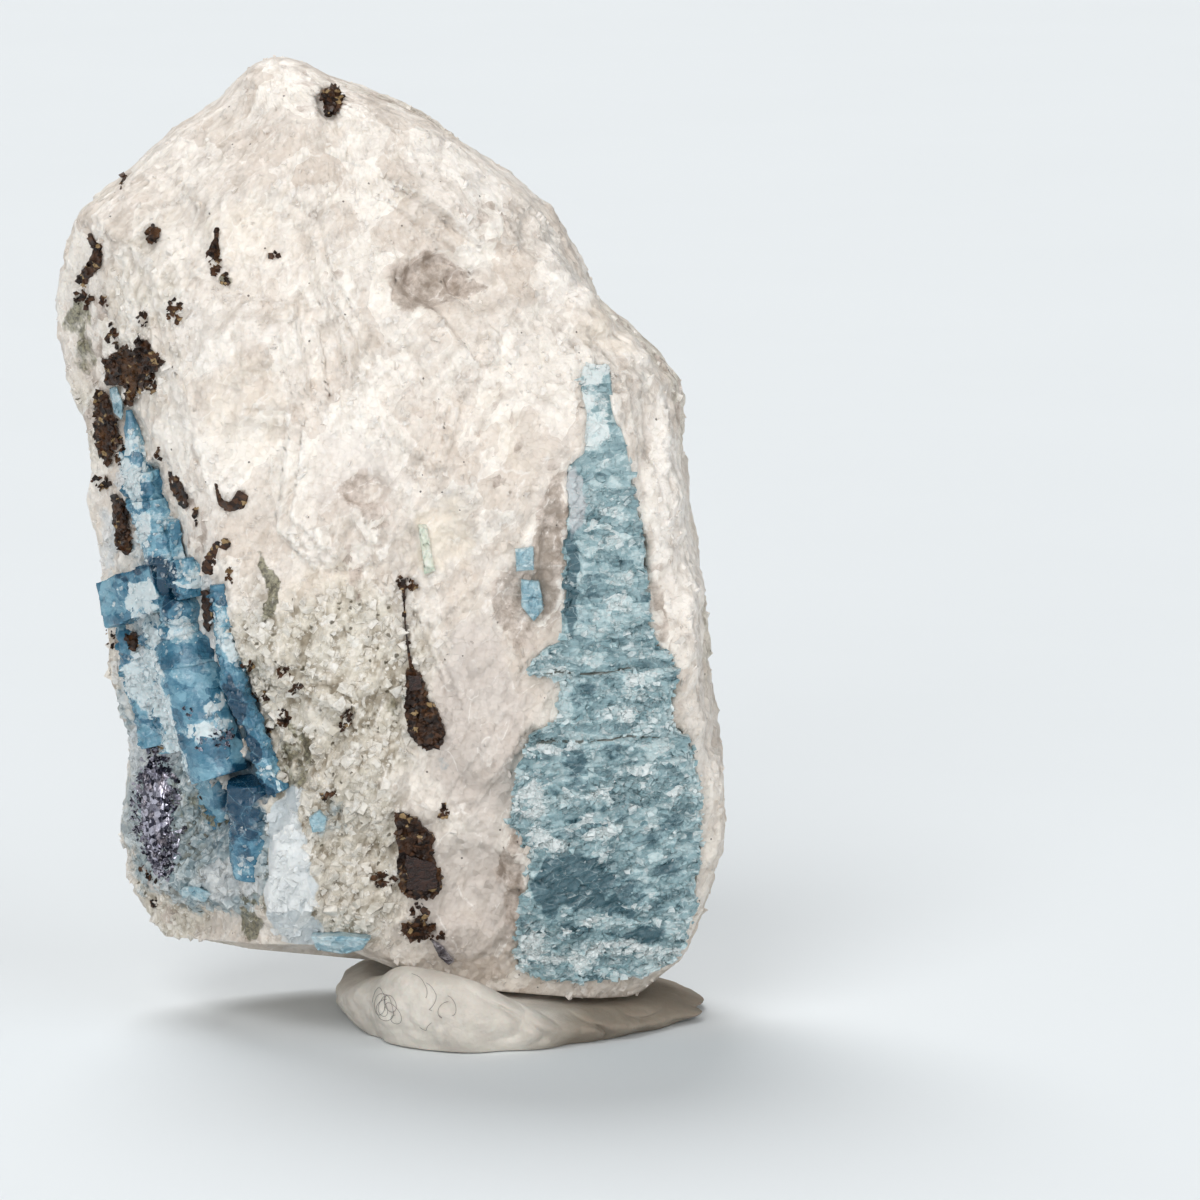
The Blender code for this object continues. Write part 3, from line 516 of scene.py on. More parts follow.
# Lumps (rise above zero) and pits on the front: x, z, half width, half height, lean, rise.
FRONT_RELIEF = [
    (2.6, 45.8, 2.1, 1.5, 10.0, -1.1),
    (4.9, 45.2, 1.6, 1.0, -25.0, -0.9),
    (-0.8, 44.9, 1.2, 1.1, 0.0, -0.4),
    (4.6, 49.2, 3.2, 2.2, -40.0, 0.5),
    (-5.8, 52.6, 2.8, 2.6, 35.0, 0.5),
    (-3.6, 55.6, 0.9, 0.9, 0.0, -0.9),
    (-10.4, 50.2, 3.4, 1.8, 35.0, 0.5),
    (-12.5, 49.2, 1.4, 2.2, 40.0, -0.6),
    (-8.8, 40.6, 3.0, 3.6, -12.0, 0.7),
    (-4.0, 40.0, 1.4, 3.0, -5.0, -0.4),
    (-1.6, 33.6, 1.3, 1.0, 0.0, -0.6),
    (-2.0, 29.6, 1.0, 2.2, 10.0, -0.5),
    (1.6, 35.6, 3.4, 2.6, -50.0, 0.5),
    (6.6, 35.6, 2.4, 5.4, -28.0, 0.4),
    (9.4, 29.2, 0.8, 3.6, 0.0, -0.7),
    (7.9, 26.2, 1.8, 2.6, 0.0, -0.6),
    (12.0, 43.6, 1.9, 1.3, -20.0, 0.8),
    (14.4, 41.3, 1.6, 0.9, -30.0, 0.6),
    (16.2, 33.0, 1.3, 4.4, -6.0, 0.5),
    (17.4, 24.6, 1.3, 3.6, -8.0, 0.4),
    (4.4, 21.4, 2.6, 4.8, -5.0, -0.5),
    (5.6, 17.8, 2.0, 1.8, 0.0, 0.5),
    (-6.0, 24.8, 2.9, 3.2, -20.0, 0.5),
    (-3.6, 19.6, 2.2, 2.6, -25.0, 0.5),
    (-6.6, 19.6, 1.3, 1.6, 0.0, -0.5),
    (-0.9, 16.4, 1.6, 2.6, -20.0, 0.5),
    (-5.7, 10.6, 1.7, 4.6, -8.0, 1.2),
    (-2.8, 9.0, 1.8, 3.0, 10.0, 0.5),
    (4.6, 10.0, 2.2, 2.2, 0.0, -0.4),
    (4.0, 6.4, 2.0, 1.4, 0.0, 0.6),
    (-10.6, 13.9, 1.1, 1.1, 0.0, -1.1),
    (-12.2, 21.0, 3.4, 9.5, 14.0, -0.8),
    (-8.4, 18.4, 1.3, 4.5, 30.0, -0.7),
    (-13.6, 10.0, 1.8, 1.8, 20.0, 0.6),
    (-11.6, 9.2, 2.0, 1.5, 0.0, 0.8),
    (-9.8, 6.3, 2.8, 1.2, 0.0, -1.0),
]
CHIP_LAYERS = [(6.4, 0.17, 0.7), (3.1, 0.15, 0.3)]
EDGE_CHIPS = 0.3
# How far round a place its chips are averaged, which wears the edges between facets.
CHIP_WEAR = 0.5


# %% Surface of the rock


def section_point(angle, height):
    """A rounded box read by its polar angle: radius = (|cos / a|^n + |sin / b|^n)^(-1/n)."""
    heights = ROCK_SECTIONS[:, 0]
    left, right, front, back = (np.interp(height, heights, ROCK_SECTIONS[:, column]) for column in (1, 2, 3, 4))
    half_width = (right - left) / 2.0
    depth = np.where(np.sin(angle) < 0.0, front, back)
    across = np.abs(np.cos(angle) / half_width) ** ROCK_SQUARENESS
    through = np.abs(np.sin(angle) / depth) ** ROCK_SQUARENESS
    radius = (across + through) ** (-1.0 / ROCK_SQUARENESS)
    return radius * np.cos(angle), radius * np.sin(angle), (left + right) / 2.0, half_width, depth


def plane_through(points):
    """The unit normal away from the rock's axis, and the distance, of a plane through points."""
    first, second, third = (np.array(point, dtype=float) for point in points)
    normal = np.cross(second - first, third - first)
    normal = normal / np.linalg.norm(normal)
    distance = float(normal @ first)
    if distance < 0.0 or normal[0] * first[0] + normal[1] * first[1] < 0.0:
        return -normal, -distance
    return normal, distance


def flat_break(turn, tilt, cut):
    """The plane that cuts the rounded form to a depth, facing a compass turn and a tilt."""
    turn, tilt = math.radians(turn), math.radians(tilt)
    normal = np.array([math.cos(turn) * math.cos(tilt), math.sin(turn) * math.cos(tilt), math.sin(tilt)])
    angle, height = np.meshgrid(np.linspace(0.0, 2.0 * math.pi, 73), np.linspace(3.0, 58.0, 56))
    x, y, centre, _, _ = section_point(angle, height)
    reach = (x + centre) * normal[0] + y * normal[1] + height * normal[2]
    return normal, float(reach.max()) - cut


BREAK_PLANES = [plane_through(points) for points in SIDE_FRACTURES]
BREAK_PLANES += [flat_break(*values) for values in FLAT_BREAKS]


def patches(x, z, rows):
    """Soft ovals that lean: each adds its last number, full inside and fading near its rim."""
    total = np.zeros_like(x)
    for centre_x, centre_z, half_width, half_height, lean, amount in rows:
        turn = math.radians(lean)
        across = (x - centre_x) * math.cos(turn) + (z - centre_z) * math.sin(turn)
        along = (z - centre_z) * math.cos(turn) - (x - centre_x) * math.sin(turn)
        reach = np.sqrt((across / half_width) ** 2 + (along / half_height) ** 2)
        rim = np.clip((1.25 - reach) / 0.6, 0.0, 1.0)
        total += amount * rim * rim * (3.0 - 2.0 * rim)
    return total


def wandered(points):
    """The x and z of points, pushed about by noise, so that painted ovals get ragged rims."""
    moved = [
        points[..., axis]
        + 0.55 * smooth_noise(points, 1.4, SEED + 70 + axis)
        + 0.25 * smooth_noise(points, 0.5, SEED + 75 + axis)
        for axis in (0, 2)
    ]
    return moved


def underside_height(x, y):
    """Height of the rock's underside over a place on the ground."""
    levels = [level + across * x + through * y for level, across, through in UNDERSIDES]
    return np.minimum(np.maximum(levels[0], levels[1]), levels[2])


def chip_relief(points, facing):
    """The broken facets that the solid has too, weaker where the rock is seen edge on. The mean of
    four places close by wears their edges round."""
    lift = 0.0
    for away in CHIP_WEAR * np.array([(1, 1, 1), (-1, -1, 1), (1, -1, -1), (-1, 1, -1)]):
        lift = lift + sum(chips(points + away, *layer, SEED + 20 * index) for index, layer in enumerate(CHIP_LAYERS))
    return lift / 4.0 * (EDGE_CHIPS + (1.0 - EDGE_CHIPS) * np.abs(facing))


def rock_front(x, z):
    """Depth y of the rock's front at places of its face, without chips and relief."""
    heights = ROCK_SECTIONS[:, 0]
    left, right, front = (np.interp(z, heights, ROCK_SECTIONS[:, column]) for column in (1, 2, 3))
    across = np.abs((x - (left + right) / 2.0) / ((right - left) / 2.0))
    y = -front * np.clip(1.0 - across**ROCK_SQUARENESS, 0.0, 1.0) ** (1.0 / ROCK_SQUARENESS)
    for normal, distance in BREAK_PLANES:
        if normal[1] < 0.0:
            y = np.maximum(y, (distance - normal[0] * x - normal[2] * z) / normal[1])
    return y


# %% Outlines on the face


def depth_inside(outline, x, z):
    """How far places lie inside an outline, below zero outside: the distance to the nearest of its
    edges, with the sign from how many edges lie to one side of the place."""
    points = np.array(outline, dtype=float)
    nearest = np.full(x.shape, 1e9)
    inside = np.zeros(x.shape, dtype=bool)
    for (x0, z0), (x1, z1) in zip(points, np.roll(points, -1, axis=0)):
        along = ((x - x0) * (x1 - x0) + (z - z0) * (z1 - z0)) / ((x1 - x0) ** 2 + (z1 - z0) ** 2)
        along = np.clip(along, 0.0, 1.0)
        nearest = np.minimum(nearest, np.hypot(x - x0 - along * (x1 - x0), z - z0 - along * (z1 - z0)))
        if z1 != z0:
            crossing = x0 + (z - z0) * (x1 - x0) / (z1 - z0)
            inside ^= ((z0 > z) != (z1 > z)) & (x < crossing)
    return np.where(inside, nearest, -nearest)


def seat(outline):
    """The flat seat that fits the chipped rock best at an outline: depth y = a + b x + c z."""
    x, z = np.array(outline, dtype=float).T
    smooth = rock_front(x, z)
    on_face = np.stack([x, smooth, z], axis=-1)
    lift = chip_relief(on_face, np.ones_like(x)) + patches(x, z, FRONT_RELIEF)
    fit, *_ = np.linalg.lstsq(np.stack([np.ones_like(x), x, z], axis=-1), smooth - lift, rcond=None)
    return fit


# %% Outlines of the small pieces
# Points (x, z) seen from the front, then thickness, and how far the piece stands proud.
SMALL_CRYSTALS = {
    "aquamarine_small_square": ([(7.2, 30.2), (8.3, 30.3), (8.3, 28.9), (7.3, 28.8)], 1.4, 0.35),
    "aquamarine_small_pale": ([(7.5, 28.3), (8.6, 28.1), (8.9, 26.4), (8.3, 25.7), (7.6, 26.6)], 1.2, 0.3),
    "aquamarine_lower_edge": (
        [(-4.9, 6.8), (-3.2, 6.9), (-1.4, 6.7), (-1.9, 5.9), (-3.1, 5.6), (-4.6, 5.9)],
        1.6,
        0.9,
    ),
    "aquamarine_grain": ([(-5.0, 14.2), (-4.4, 14.6), (-3.9, 14.1), (-4.1, 13.3), (-4.8, 13.3)], 1.2, 0.3),
    "aquamarine_foot": ([(-13.2, 8.6), (-12.0, 9.0), (-11.0, 8.7), (-11.4, 8.0), (-12.8, 8.0)], 1.5, 0.7),
    "aquamarine_in_mica": (
        [(-17.0, 38.6), (-16.5, 38.8), (-16.1, 37.9), (-16.2, 36.9), (-16.7, 37.2)],
        1.0,
        0.45,
    ),
    "green_crystal": ([(1.5, 31.6), (2.0, 31.6), (2.5, 28.9), (1.9, 28.7)], 1.0, 0.3),
}
GREY_BLADES = ([(2.2, 6.4), (2.9, 6.0), (3.5, 5.0), (3.2, 4.7), (2.6, 5.3)], 1.2, 0.6)
MICA_BOOKS = {
    "mica_top": ([(-4.3, 56.2), (-3.6, 56.6), (-3.0, 56.0), (-3.3, 55.2), (-3.9, 55.0)], 1.6, 0.5),
    "mica_star": ([(-11.0, 47.6), (-10.6, 48.0), (-10.3, 48.7), (-10.0, 47.5), (-10.3, 46.9)], 0.8, 0.25),
    "mica_hexagon": (
        [(-14.5, 48.4), (-14.2, 48.8), (-13.8, 48.5), (-13.9, 47.9), (-14.2, 47.7), (-14.5, 47.9)],
        0.8,
        0.35,
    ),
    "mica_ring": (
        [(-18.7, 47.4), (-17.6, 47.5), (-17.2, 46.8), (-17.5, 45.7), (-18.9, 44.8), (-18.9, 45.7),
         (-18.1, 46.2), (-18.0, 46.8)],
        1.1,
        0.4,
    ),
    "mica_upper_left": (
        [(-17.4, 40.3), (-16.3, 41.0), (-15.3, 41.0), (-15.1, 42.4), (-14.3, 41.6), (-13.4, 40.9),
         (-14.4, 40.1), (-15.2, 39.4), (-15.6, 37.9), (-15.9, 37.9), (-16.0, 38.9), (-16.5, 39.2),
         (-17.1, 38.9)],
        1.5,
        0.5,
    ),
    "mica_edge": (
        [(-17.8, 38.3), (-17.2, 38.3), (-16.9, 36.9), (-16.5, 36.6), (-16.6, 35.4), (-17.0, 34.6),
         (-17.2, 33.7), (-17.7, 34.4), (-18.1, 36.2)],
        1.2,
        0.45,
    ),
    "mica_left_bar": (
        [(-17.0, 31.9), (-16.0, 31.7), (-15.8, 29.6), (-15.9, 28.4), (-16.7, 28.8), (-16.8, 30.6)],
        1.1,
        0.4,
    ),
    "mica_flake": (
        [(-13.2, 34.1), (-12.7, 34.3), (-12.3, 33.4), (-12.4, 32.2), (-12.9, 32.7), (-13.1, 33.2)],
        0.9,
        0.45,
    ),
    "mica_hook": (
        [(-10.5, 34.0), (-10.2, 34.0), (-10.0, 33.0), (-9.4, 33.0), (-9.1, 33.6), (-8.5, 33.6),
         (-8.5, 33.0), (-8.9, 32.5), (-9.6, 32.3), (-10.2, 32.5)],
        0.7,
        0.25,
    ),
    "mica_curved": (
        [(-11.2, 28.6), (-11.0, 29.6), (-10.6, 30.2), (-9.5, 30.5), (-9.6, 30.0), (-10.2, 29.8),
         (-10.6, 29.2), (-10.7, 28.4)],
        0.9,
        0.4,
    ),
    "mica_blade": ([(-11.5, 27.0), (-11.1, 27.2), (-10.7, 26.2), (-10.8, 24.9), (-11.3, 25.4)], 0.9, 0.5),
    "mica_grain": ([(-16.3, 23.4), (-15.8, 23.6), (-15.4, 23.1), (-15.6, 22.6), (-16.2, 22.6)], 1.0, 0.9),
    "mica_vein": (
        [(0.4, 28.4), (0.9, 28.7), (1.8, 28.0), (2.1, 27.5), (1.3, 27.6), (0.85, 27.9), (0.8, 26.8),
         (1.1, 24.9), (1.4, 23.4), (1.0, 23.4), (0.7, 25.0), (0.5, 27.6)],
        0.8,
        0.2,
    ),
    "mica_middle_book": (
        [(0.9, 22.9), (1.7, 22.8), (2.0, 21.4), (2.9, 19.6), (2.9, 18.6), (2.1, 18.2), (1.2, 18.8),
         (0.8, 20.2)],
        1.8,
        0.5,
    ),
    "mica_lower_book": (
        [(0.0, 14.4), (0.9, 14.2), (2.3, 12.9), (2.4, 11.2), (2.8, 10.3), (2.6, 9.2), (1.3, 9.0),
         (0.3, 9.6), (0.3, 12.2)],
        1.9,
        0.5,
    ),
    "mica_bottom": ([(0.4, 7.3), (1.3, 7.6), (2.2, 7.1), (1.9, 6.5), (1.0, 6.4)], 1.2, 0.45),
}

# Edges of the long right crystal seen from the front: x, z, from its foot up.
RIGHT_EDGE_LEFT = np.array(
    [(10.4, 3.6), (8.2, 3.9), (7.2, 4.5), (7.3, 6.3), (7.7, 8.6), (8.1, 11.4), (7.3, 13.2), (6.8, 13.6), (7.1, 16.0),
     (7.5, 17.1), (8.1, 18.2), (7.8, 18.5), (8.1, 19.1), (9.1, 19.6), (9.7, 19.9), (9.8, 21.7), (9.8, 22.5),
     (8.3, 22.7), (7.9, 23.0), (8.5, 23.7), (9.1, 24.2), (10.0, 24.6), (10.1, 29.1), (10.2, 32.0),
     (10.1, 35.0), (10.7, 35.5), (11.1, 35.8), (11.2, 37.9), (11.0, 39.6), (11.1, 40.6)]
)
RIGHT_EDGE_RIGHT = np.array(
    [(14.6, 3.6), (16.4, 4.1), (17.2, 5.2), (17.6, 6.8), (17.9, 8.0), (18.2, 11.1), (18.1, 14.2), (17.9, 16.8), (17.4, 18.4),
     (16.5, 19.3), (16.6, 21.3), (16.6, 23.0), (15.6, 24.1), (15.1, 25.5), (15.0, 28.2), (14.7, 31.2),
     (14.3, 32.7), (13.9, 35.6), (13.6, 36.7), (13.1, 38.0), (12.7, 40.6)]
)
RIGHT_OUTLINE = np.concatenate([RIGHT_EDGE_LEFT, RIGHT_EDGE_RIGHT[::-1]])
# What the rock makes way for: outline, depth of the pocket, and how far inside the edge it starts.
POCKETS = [(RIGHT_OUTLINE, 1.6, 0.1)]
POCKETS += [(outline, 0.7, 0.12) for outline, _, _ in {**SMALL_CRYSTALS, **MICA_BOOKS}.values()]

# %% [markdown]
# ## Where the rock changes
#
# Seen close, the slab isn't one stuff. There is clear greyish quartz that looks dark where light
# goes into it, white crushed quartz, cream feldspar, sugary grains low down, green stains, a bluish
# granular bed round the left crystals, and one pale blue lump. Each gets soft ovals on the front.
# The deep blue zone is painted shade in the hollow and grooves by the left crystals, and the white
# zone's rows at the right edge are painted light.

# %% Zones on the front
# Each row: x, z, half width, half height, lean, strength.
ZONES = {
    "smoky": [
        (1.9, 45.7, 1.9, 1.5, 10, 1.0),
        (4.3, 45.4, 2.0, 0.8, -15, 0.9),
        (0.6, 44.7, 0.8, 0.8, 0, 0.6),
        (-2.2, 33.6, 1.2, 1.0, 0, 0.8),
        (-1.0, 32.2, 0.7, 0.8, 0, 0.6),
        (-2.5, 28.9, 0.6, 2.1, 8, 0.7),
        (6.1, 34.8, 0.9, 1.0, 0, 0.5),
        (7.8, 26.7, 2.2, 2.5, 0, 0.9),
        (9.2, 30.6, 0.9, 4.3, 0, 1.2),
        (15.7, 26.1, 0.5, 3.0, 0, 0.7),
        (-11.6, 31.0, 0.8, 1.8, 0, 0.7),
        (7.0, 9.8, 0.8, 3.6, 0, 0.9),
        (-5.0, 56.7, 1.8, 1.0, 20, 0.4),
        (-17.8, 41.0, 0.8, 3.6, 0, 0.5),
        (-17.0, 36.6, 0.8, 2.4, 0, 0.5),
        (-15.6, 31.0, 0.7, 1.8, 0, 0.5),
        (5.6, 49.2, 1.3, 1.2, 0, 0.4),
        (2.6, 38.0, 1.2, 2.6, 30, 0.35),
        (6.5, 38.4, 1.2, 3.4, 30, 0.3),
        (-4.6, 46.0, 1.4, 1.4, 0, 0.25),
    ],
    "white": [
        (3.6, 51.3, 3.5, 3.0, -30, 0.7),
        (-9.0, 34.8, 3.5, 3.6, 0, 0.6),
        (12.2, 44.1, 2.4, 1.3, -20, 1.0),
        (13.7, 41.4, 2.0, 0.8, -30, 1.0),
        (-5.4, 43.0, 3.5, 1.8, 0, 0.6),
        (-11.3, 43.0, 3.5, 3.0, 0, 0.6),
        (5.1, 23.5, 1.8, 1.8, 0, 0.4),
        (6.3, 41.2, 2.4, 3.6, 30, 0.5),
        (-3.1, 37.8, 3.5, 4.2, 30, 0.5),
        # These three rows along the right edge are painted light: they lighten a flank that the lamps leave darker.
        (16.6, 34.0, 1.4, 6.0, 0, 0.9),
        (16.9, 28.6, 1.3, 3.6, 0, 0.9),
        (18.6, 22.0, 1.4, 9.0, 0, 0.8),
        (10.5, 46.0, 2.4, 3.0, -40, 0.7),
    ],
    "cream": [
        (3.0, 30.9, 1.6, 2.4, 0, 1.0),
        (-8.9, 48.5, 2.4, 2.4, 0, 0.5),
        (4.6, 29.5, 0.6, 0.8, 0, 0.6),
        (-1.9, 21.7, 1.8, 3.0, -20, 0.8),
        (-15.5, 44.9, 2.4, 2.4, 0, 0.4),
        (7.5, 36.6, 2.4, 1.8, 0, 0.5),
        (-8.6, 38.0, 3.0, 4.0, 0, 0.5),
        (-4.5, 27.0, 2.6, 3.0, -20, 0.6),
        (13.0, 42.6, 2.8, 1.6, -25, 0.7),
    ],
    "rosy": [
        (5.1, 19.3, 2.9, 7.1, 0, 0.8),
        (-2.4, 34.6, 3.0, 3.2, 0, 0.5),
        (4.5, 8.5, 3.5, 4.2, 0, 0.7),
        (9.0, 37.1, 1.8, 3.0, 0, 0.4),
    ],
    "sugary": [
        (-3.7, 21.1, 5.9, 7.7, -15, 1.0),
        (-3.8, 10.7, 5.3, 5.4, 0, 1.0),
        (-15.0, 42.6, 2.9, 7.1, 0, 0.4),
        (-8.4, 24.6, 1.6, 3.6, 0, 0.7),
        (-14.0, 10.0, 4.0, 6.0, 0, 1.0),
    ],
    "green": [
        (-7.7, 28.7, 0.45, 1.1, 8, 1.3),
        (-7.3, 27.2, 0.4, 1.2, 8, 1.3),
        (-5.6, 18.4, 0.5, 1.8, 30, 0.8),
        (-18.4, 40.6, 0.6, 1.4, 0, 0.8),
        (-9.6, 20.2, 0.3, 1.6, 20, 0.5),
        (-18.8, 42.9, 0.8, 1.7, -20, 1.0),
        (-9.8, 46.0, 0.5, 0.3, 20, 1.0),
        (-10.7, 14.0, 1.1, 1.1, 0, 1.3),
        (-6.3, 16.8, 0.9, 1.8, 30, 0.8),
        (0.1, 21.1, 0.5, 1.2, 0, 0.7),
        (-3.1, 25.9, 2.0, 2.6, -20, 0.25),
        (-5.6, 10.1, 1.8, 1.8, 0, 0.3),
        (-8.1, 23.5, 1.2, 1.2, 0, 0.5),
        (-3.4, 19.0, 2.4, 2.0, 0, 0.25),
        (-13.0, 13.0, 1.6, 2.4, 0, 0.5),
        (-16.4, 50.0, 0.9, 0.4, 0, 0.6),
        (-0.5, 12.0, 1.0, 2.6, 0, 0.4),
        (-8.2, 8.4, 0.9, 0.3, 0, 1.2),
        (-8.7, 7.1, 0.9, 0.8, -20, 1.2),
        (-10.9, 14.0, 1.4, 1.3, 0, 0.6),
    ],
    "bluish": [
        (-11.7, 11.2, 4.4, 4.2, 0, 1.0),
        (-15.2, 17.6, 1.6, 4.4, 14, 0.7),
        (-9.6, 20.8, 0.7, 5.6, 18, 0.6),
        (-14.6, 29.6, 1.8, 3.6, 0, 0.55),
        (-8.6, 11.1, 1.4, 3.4, 0, 1.0),
        (-3.6, 14.2, 1.0, 1.6, 0, 0.4),
        (-14.2, 20.6, 1.6, 5.4, 14, 1.0),
        (-16.0, 12.0, 2.6, 5.4, 0, 1.1),
        (-10.4, 24.6, 0.8, 3.4, 16, 0.8),
        (1.3, 20.9, 0.9, 0.9, 0, 0.45),
        (3.1, 17.6, 0.5, 0.4, 0, 0.45),
        (7.6, 27.3, 0.9, 2.2, 0, 0.35),
    ],
    # Painted shade, tinted blue by the crystals: the hollow under the barrel and the grooves beside it.
    "deep_blue_shade": [
        (-9.0, 15.9, 1.5, 1.0, -10, 1.3),
        (-9.0, 19.2, 0.9, 4.2, 20, 1.3),
        (-13.9, 19.7, 0.4, 2.2, 14, 0.9),
        (-10.9, 26.0, 0.5, 1.4, 0, 1.1),
        (-10.5, 12.8, 1.6, 1.6, 0, 0.5),
        (-8.7, 13.0, 1.3, 2.4, 0, 0.8),
        (-13.2, 27.2, 0.8, 1.4, 0, 0.7),
    ],
    "frosty": [
        (-15.8, 33.4, 1.2, 1.7, 15, 1.1),
        (-14.7, 24.2, 1.1, 2.2, 10, 1.2),
        (-13.4, 19.2, 0.9, 3.4, 14, 1.2),
        (-15.2, 16.6, 1.6, 1.6, 0, 0.8),
        (-11.4, 24.2, 0.9, 2.6, 0, 0.6),
        (-12.0, 27.8, 1.3, 1.2, 0, 0.8),
        (-9.4, 9.6, 2.2, 1.2, 0, 0.9),
        (-13.6, 8.4, 2.4, 1.0, 0, 0.6),
        (-16.4, 12.4, 1.2, 3.6, 0, 0.9),
        (-16.0, 21.0, 1.0, 2.4, 10, 0.9),
        (-17.5, 29.1, 0.7, 2.2, 0, 0.7),
    ],
    "pale_blue": [
        (-5.9, 9.6, 1.5, 3.6, -8, 1.0),
        (-6.3, 13.6, 1.0, 2.2, -4, 1.0),
        (-5.2, 6.6, 1.1, 1.2, 0, 0.8),
    ],
}
# These zones go on round the left flank.
ROUND_FLANK = ("sugary", "bluish", "frosty", "green", "smoky")
ROCK_ROWS = 262
ROCK_COLUMNS = 366
FRONT_CROWDING = 3.0


def rock_grid():
    """Rows of heights, closer at both ends, and columns of angles, closer on the front."""
    angle = np.linspace(-1.5 * math.pi, 0.5 * math.pi, 4001)
    crowding = 1.0 + (FRONT_CROWDING - 1.0) * np.clip(-1.6 * np.sin(angle) + 0.6, 0.0, 1.0)
    travelled = np.concatenate([[0.0], np.cumsum(crowding[1:])])
    wanted = np.linspace(0.0, travelled[-1], ROCK_COLUMNS, endpoint=False)
    columns = np.interp(wanted, travelled, angle)
    share = np.linspace(0.0, 1.0, ROCK_ROWS)
    share = 0.86 * share + 0.14 * (1.0 - np.cos(math.pi * share)) / 2.0
    lowest, highest = ROCK_SECTIONS[0, 0], ROCK_SECTIONS[-1, 0]
    return np.meshgrid(lowest + (highest - lowest) * share, columns, indexing="ij")


# The hollow under the barrel crystal and the groove beside it: x, z, half sizes, lean, depth.
DRESSED_RELIEF = [
    (-9.0, 15.9, 1.5, 1.0, -10.0, -1.3),
    (-9.0, 19.4, 0.6, 3.6, 20.0, -0.8),
    (-10.8, 26.0, 0.6, 1.4, 0.0, -0.9),
    (-15.4, 35.4, 1.1, 2.6, 12.0, -0.7),
    (-14.2, 30.8, 1.9, 3.2, 6.0, -0.5),
    (-3.6, 17.6, 1.2, 1.4, -20.0, -0.35),
    (-8.4, 22.0, 0.9, 1.6, -20.0, -0.4),
    (-1.6, 12.6, 0.7, 2.0, 10.0, -0.5),
    (-12.0, 13.4, 2.2, 2.0, 0.0, -0.4),
]


def rock_surface(height, angle):
    """The rounded form, pulled in to each break plane, then moved along its outward normal by
    chips, listed relief and grain, and cut flat from below. Also gives the zones' strengths."""
    x, y, centre, half_width, depth = section_point(angle, height)
    for normal, distance in BREAK_PLANES:
        reach = normal[0] * x + normal[1] * y
        room = distance - normal[0] * centre - normal[2] * height
        pull = np.clip(np.where(reach > room, room / np.maximum(reach, 1e-6), 1.0), 0.05, 1.0)
        x, y = x * pull, y * pull
    outward = np.stack([x / half_width**2, y / depth**2, 0.012 * (height - 27.0) / 27.0], axis=-1)
    outward /= np.linalg.norm(outward, axis=-1, keepdims=True)
    points = np.stack([x + centre, y, height], axis=-1)
    edge = np.clip(np.minimum(half_width, depth) / EDGE_TAPER, 0.0, 1.0)
    facing = np.clip(-1.8 * outward[..., 1] - 0.2, 0.0, 1.0)
    above = np.clip((height - underside_height(points[..., 0], y)) / UNDERSIDE_FADE, 0.0, 1.0)
    zone_x, zone_z = wandered(points)
    round_flank = np.clip(0.9 - 1.8 * outward[..., 1], 0.0, 1.0)
    zones = {
        name: np.clip(patches(zone_x, zone_z, rows) * (round_flank if name in ROUND_FLANK else facing), 0.0, 1.3)
        for name, rows in ZONES.items()
    }
    behind = smooth_noise(points, 6.0, SEED + 90) * (1.0 - facing)
    zones["sugary"] += np.clip(0.15 + behind, 0.0, 0.8) * (1.0 - facing)
    zones["smoky"] += np.clip(behind - 0.25, 0.0, 0.6)
    zones["cream"] += np.clip(-behind - 0.1, 0.0, 0.6)
    cleaved = leaned(points, 34.0, 2.2)
    rough = 0.75 + 0.6 * zones["sugary"] - 0.3 * zones["rosy"] - 0.45 * zones["pale_blue"] - 0.2 * zones["cream"]
    rough = np.clip(rough, 0.15, 1.4)
    lift = chip_relief(points, outward[..., 1]) * (1.0 - 0.5 * np.clip(zones["pale_blue"], 0.0, 1.0))
    lift += rough * chips(cleaved, 1.5, 0.14, 0.14, SEED + 40)
    fine = chips(cleaved, 0.8, 0.2, 0.1, SEED + 50) + 0.05 * smooth_noise(points, 0.5, SEED + 80)
    fine = rough * (fine + 0.8 * chips(points, 0.5, 0.24, 0.08, SEED + 60))
    fine *= np.clip(0.25 + 1.1 * np.abs(outward[..., 1]), 0.0, 1.0)
    lift += fine
    listed = patches(points[..., 0], height, FRONT_RELIEF + DRESSED_RELIEF)
    points = points + outward * (((lift * edge) + listed * facing) * above)[..., None]
    points[..., 2] = np.maximum(points[..., 2], underside_height(points[..., 0], points[..., 1]))
    covered = np.zeros_like(height)
    for outline, pocket, start in POCKETS:
        inside = depth_inside(outline, points[..., 0], points[..., 2])
        covered = np.maximum(covered, pocket * np.clip((inside - start) / 0.25, 0.0, 1.0))
    points[..., 1] += covered * (facing > 0.0)
    # Painted shade: how deep each point lies in a hollow of the fine relief, for the colour to darken.
    zones["crevice_shade"] = np.clip(-fine / 0.1, 0.0, 1.0)
    return points, zones, covered * facing


# %% [markdown]
# ## The rock's finish
#
# Quartz is clear in itself, but it is full of healed cracks, so it reads as a mosaic of milky and
# greyish cells with bright seams, which are partly a painted glint. Cells that lean to the right give
# the mosaic, smaller ones the grain, and the zones tint it. Painted shade darkens the hollows of the
# fine relief and the lower part. A little subsurface light softens the shadows inside.

# %% Finish of the rock
QUARTZ_WHITE = linear(247, 240, 231)
QUARTZ_GREY = linear(216, 207, 198)
QUARTZ_SEAM_AND_GLINT = linear(252, 248, 243)
CLEAVAGE_LEAN = 34.0


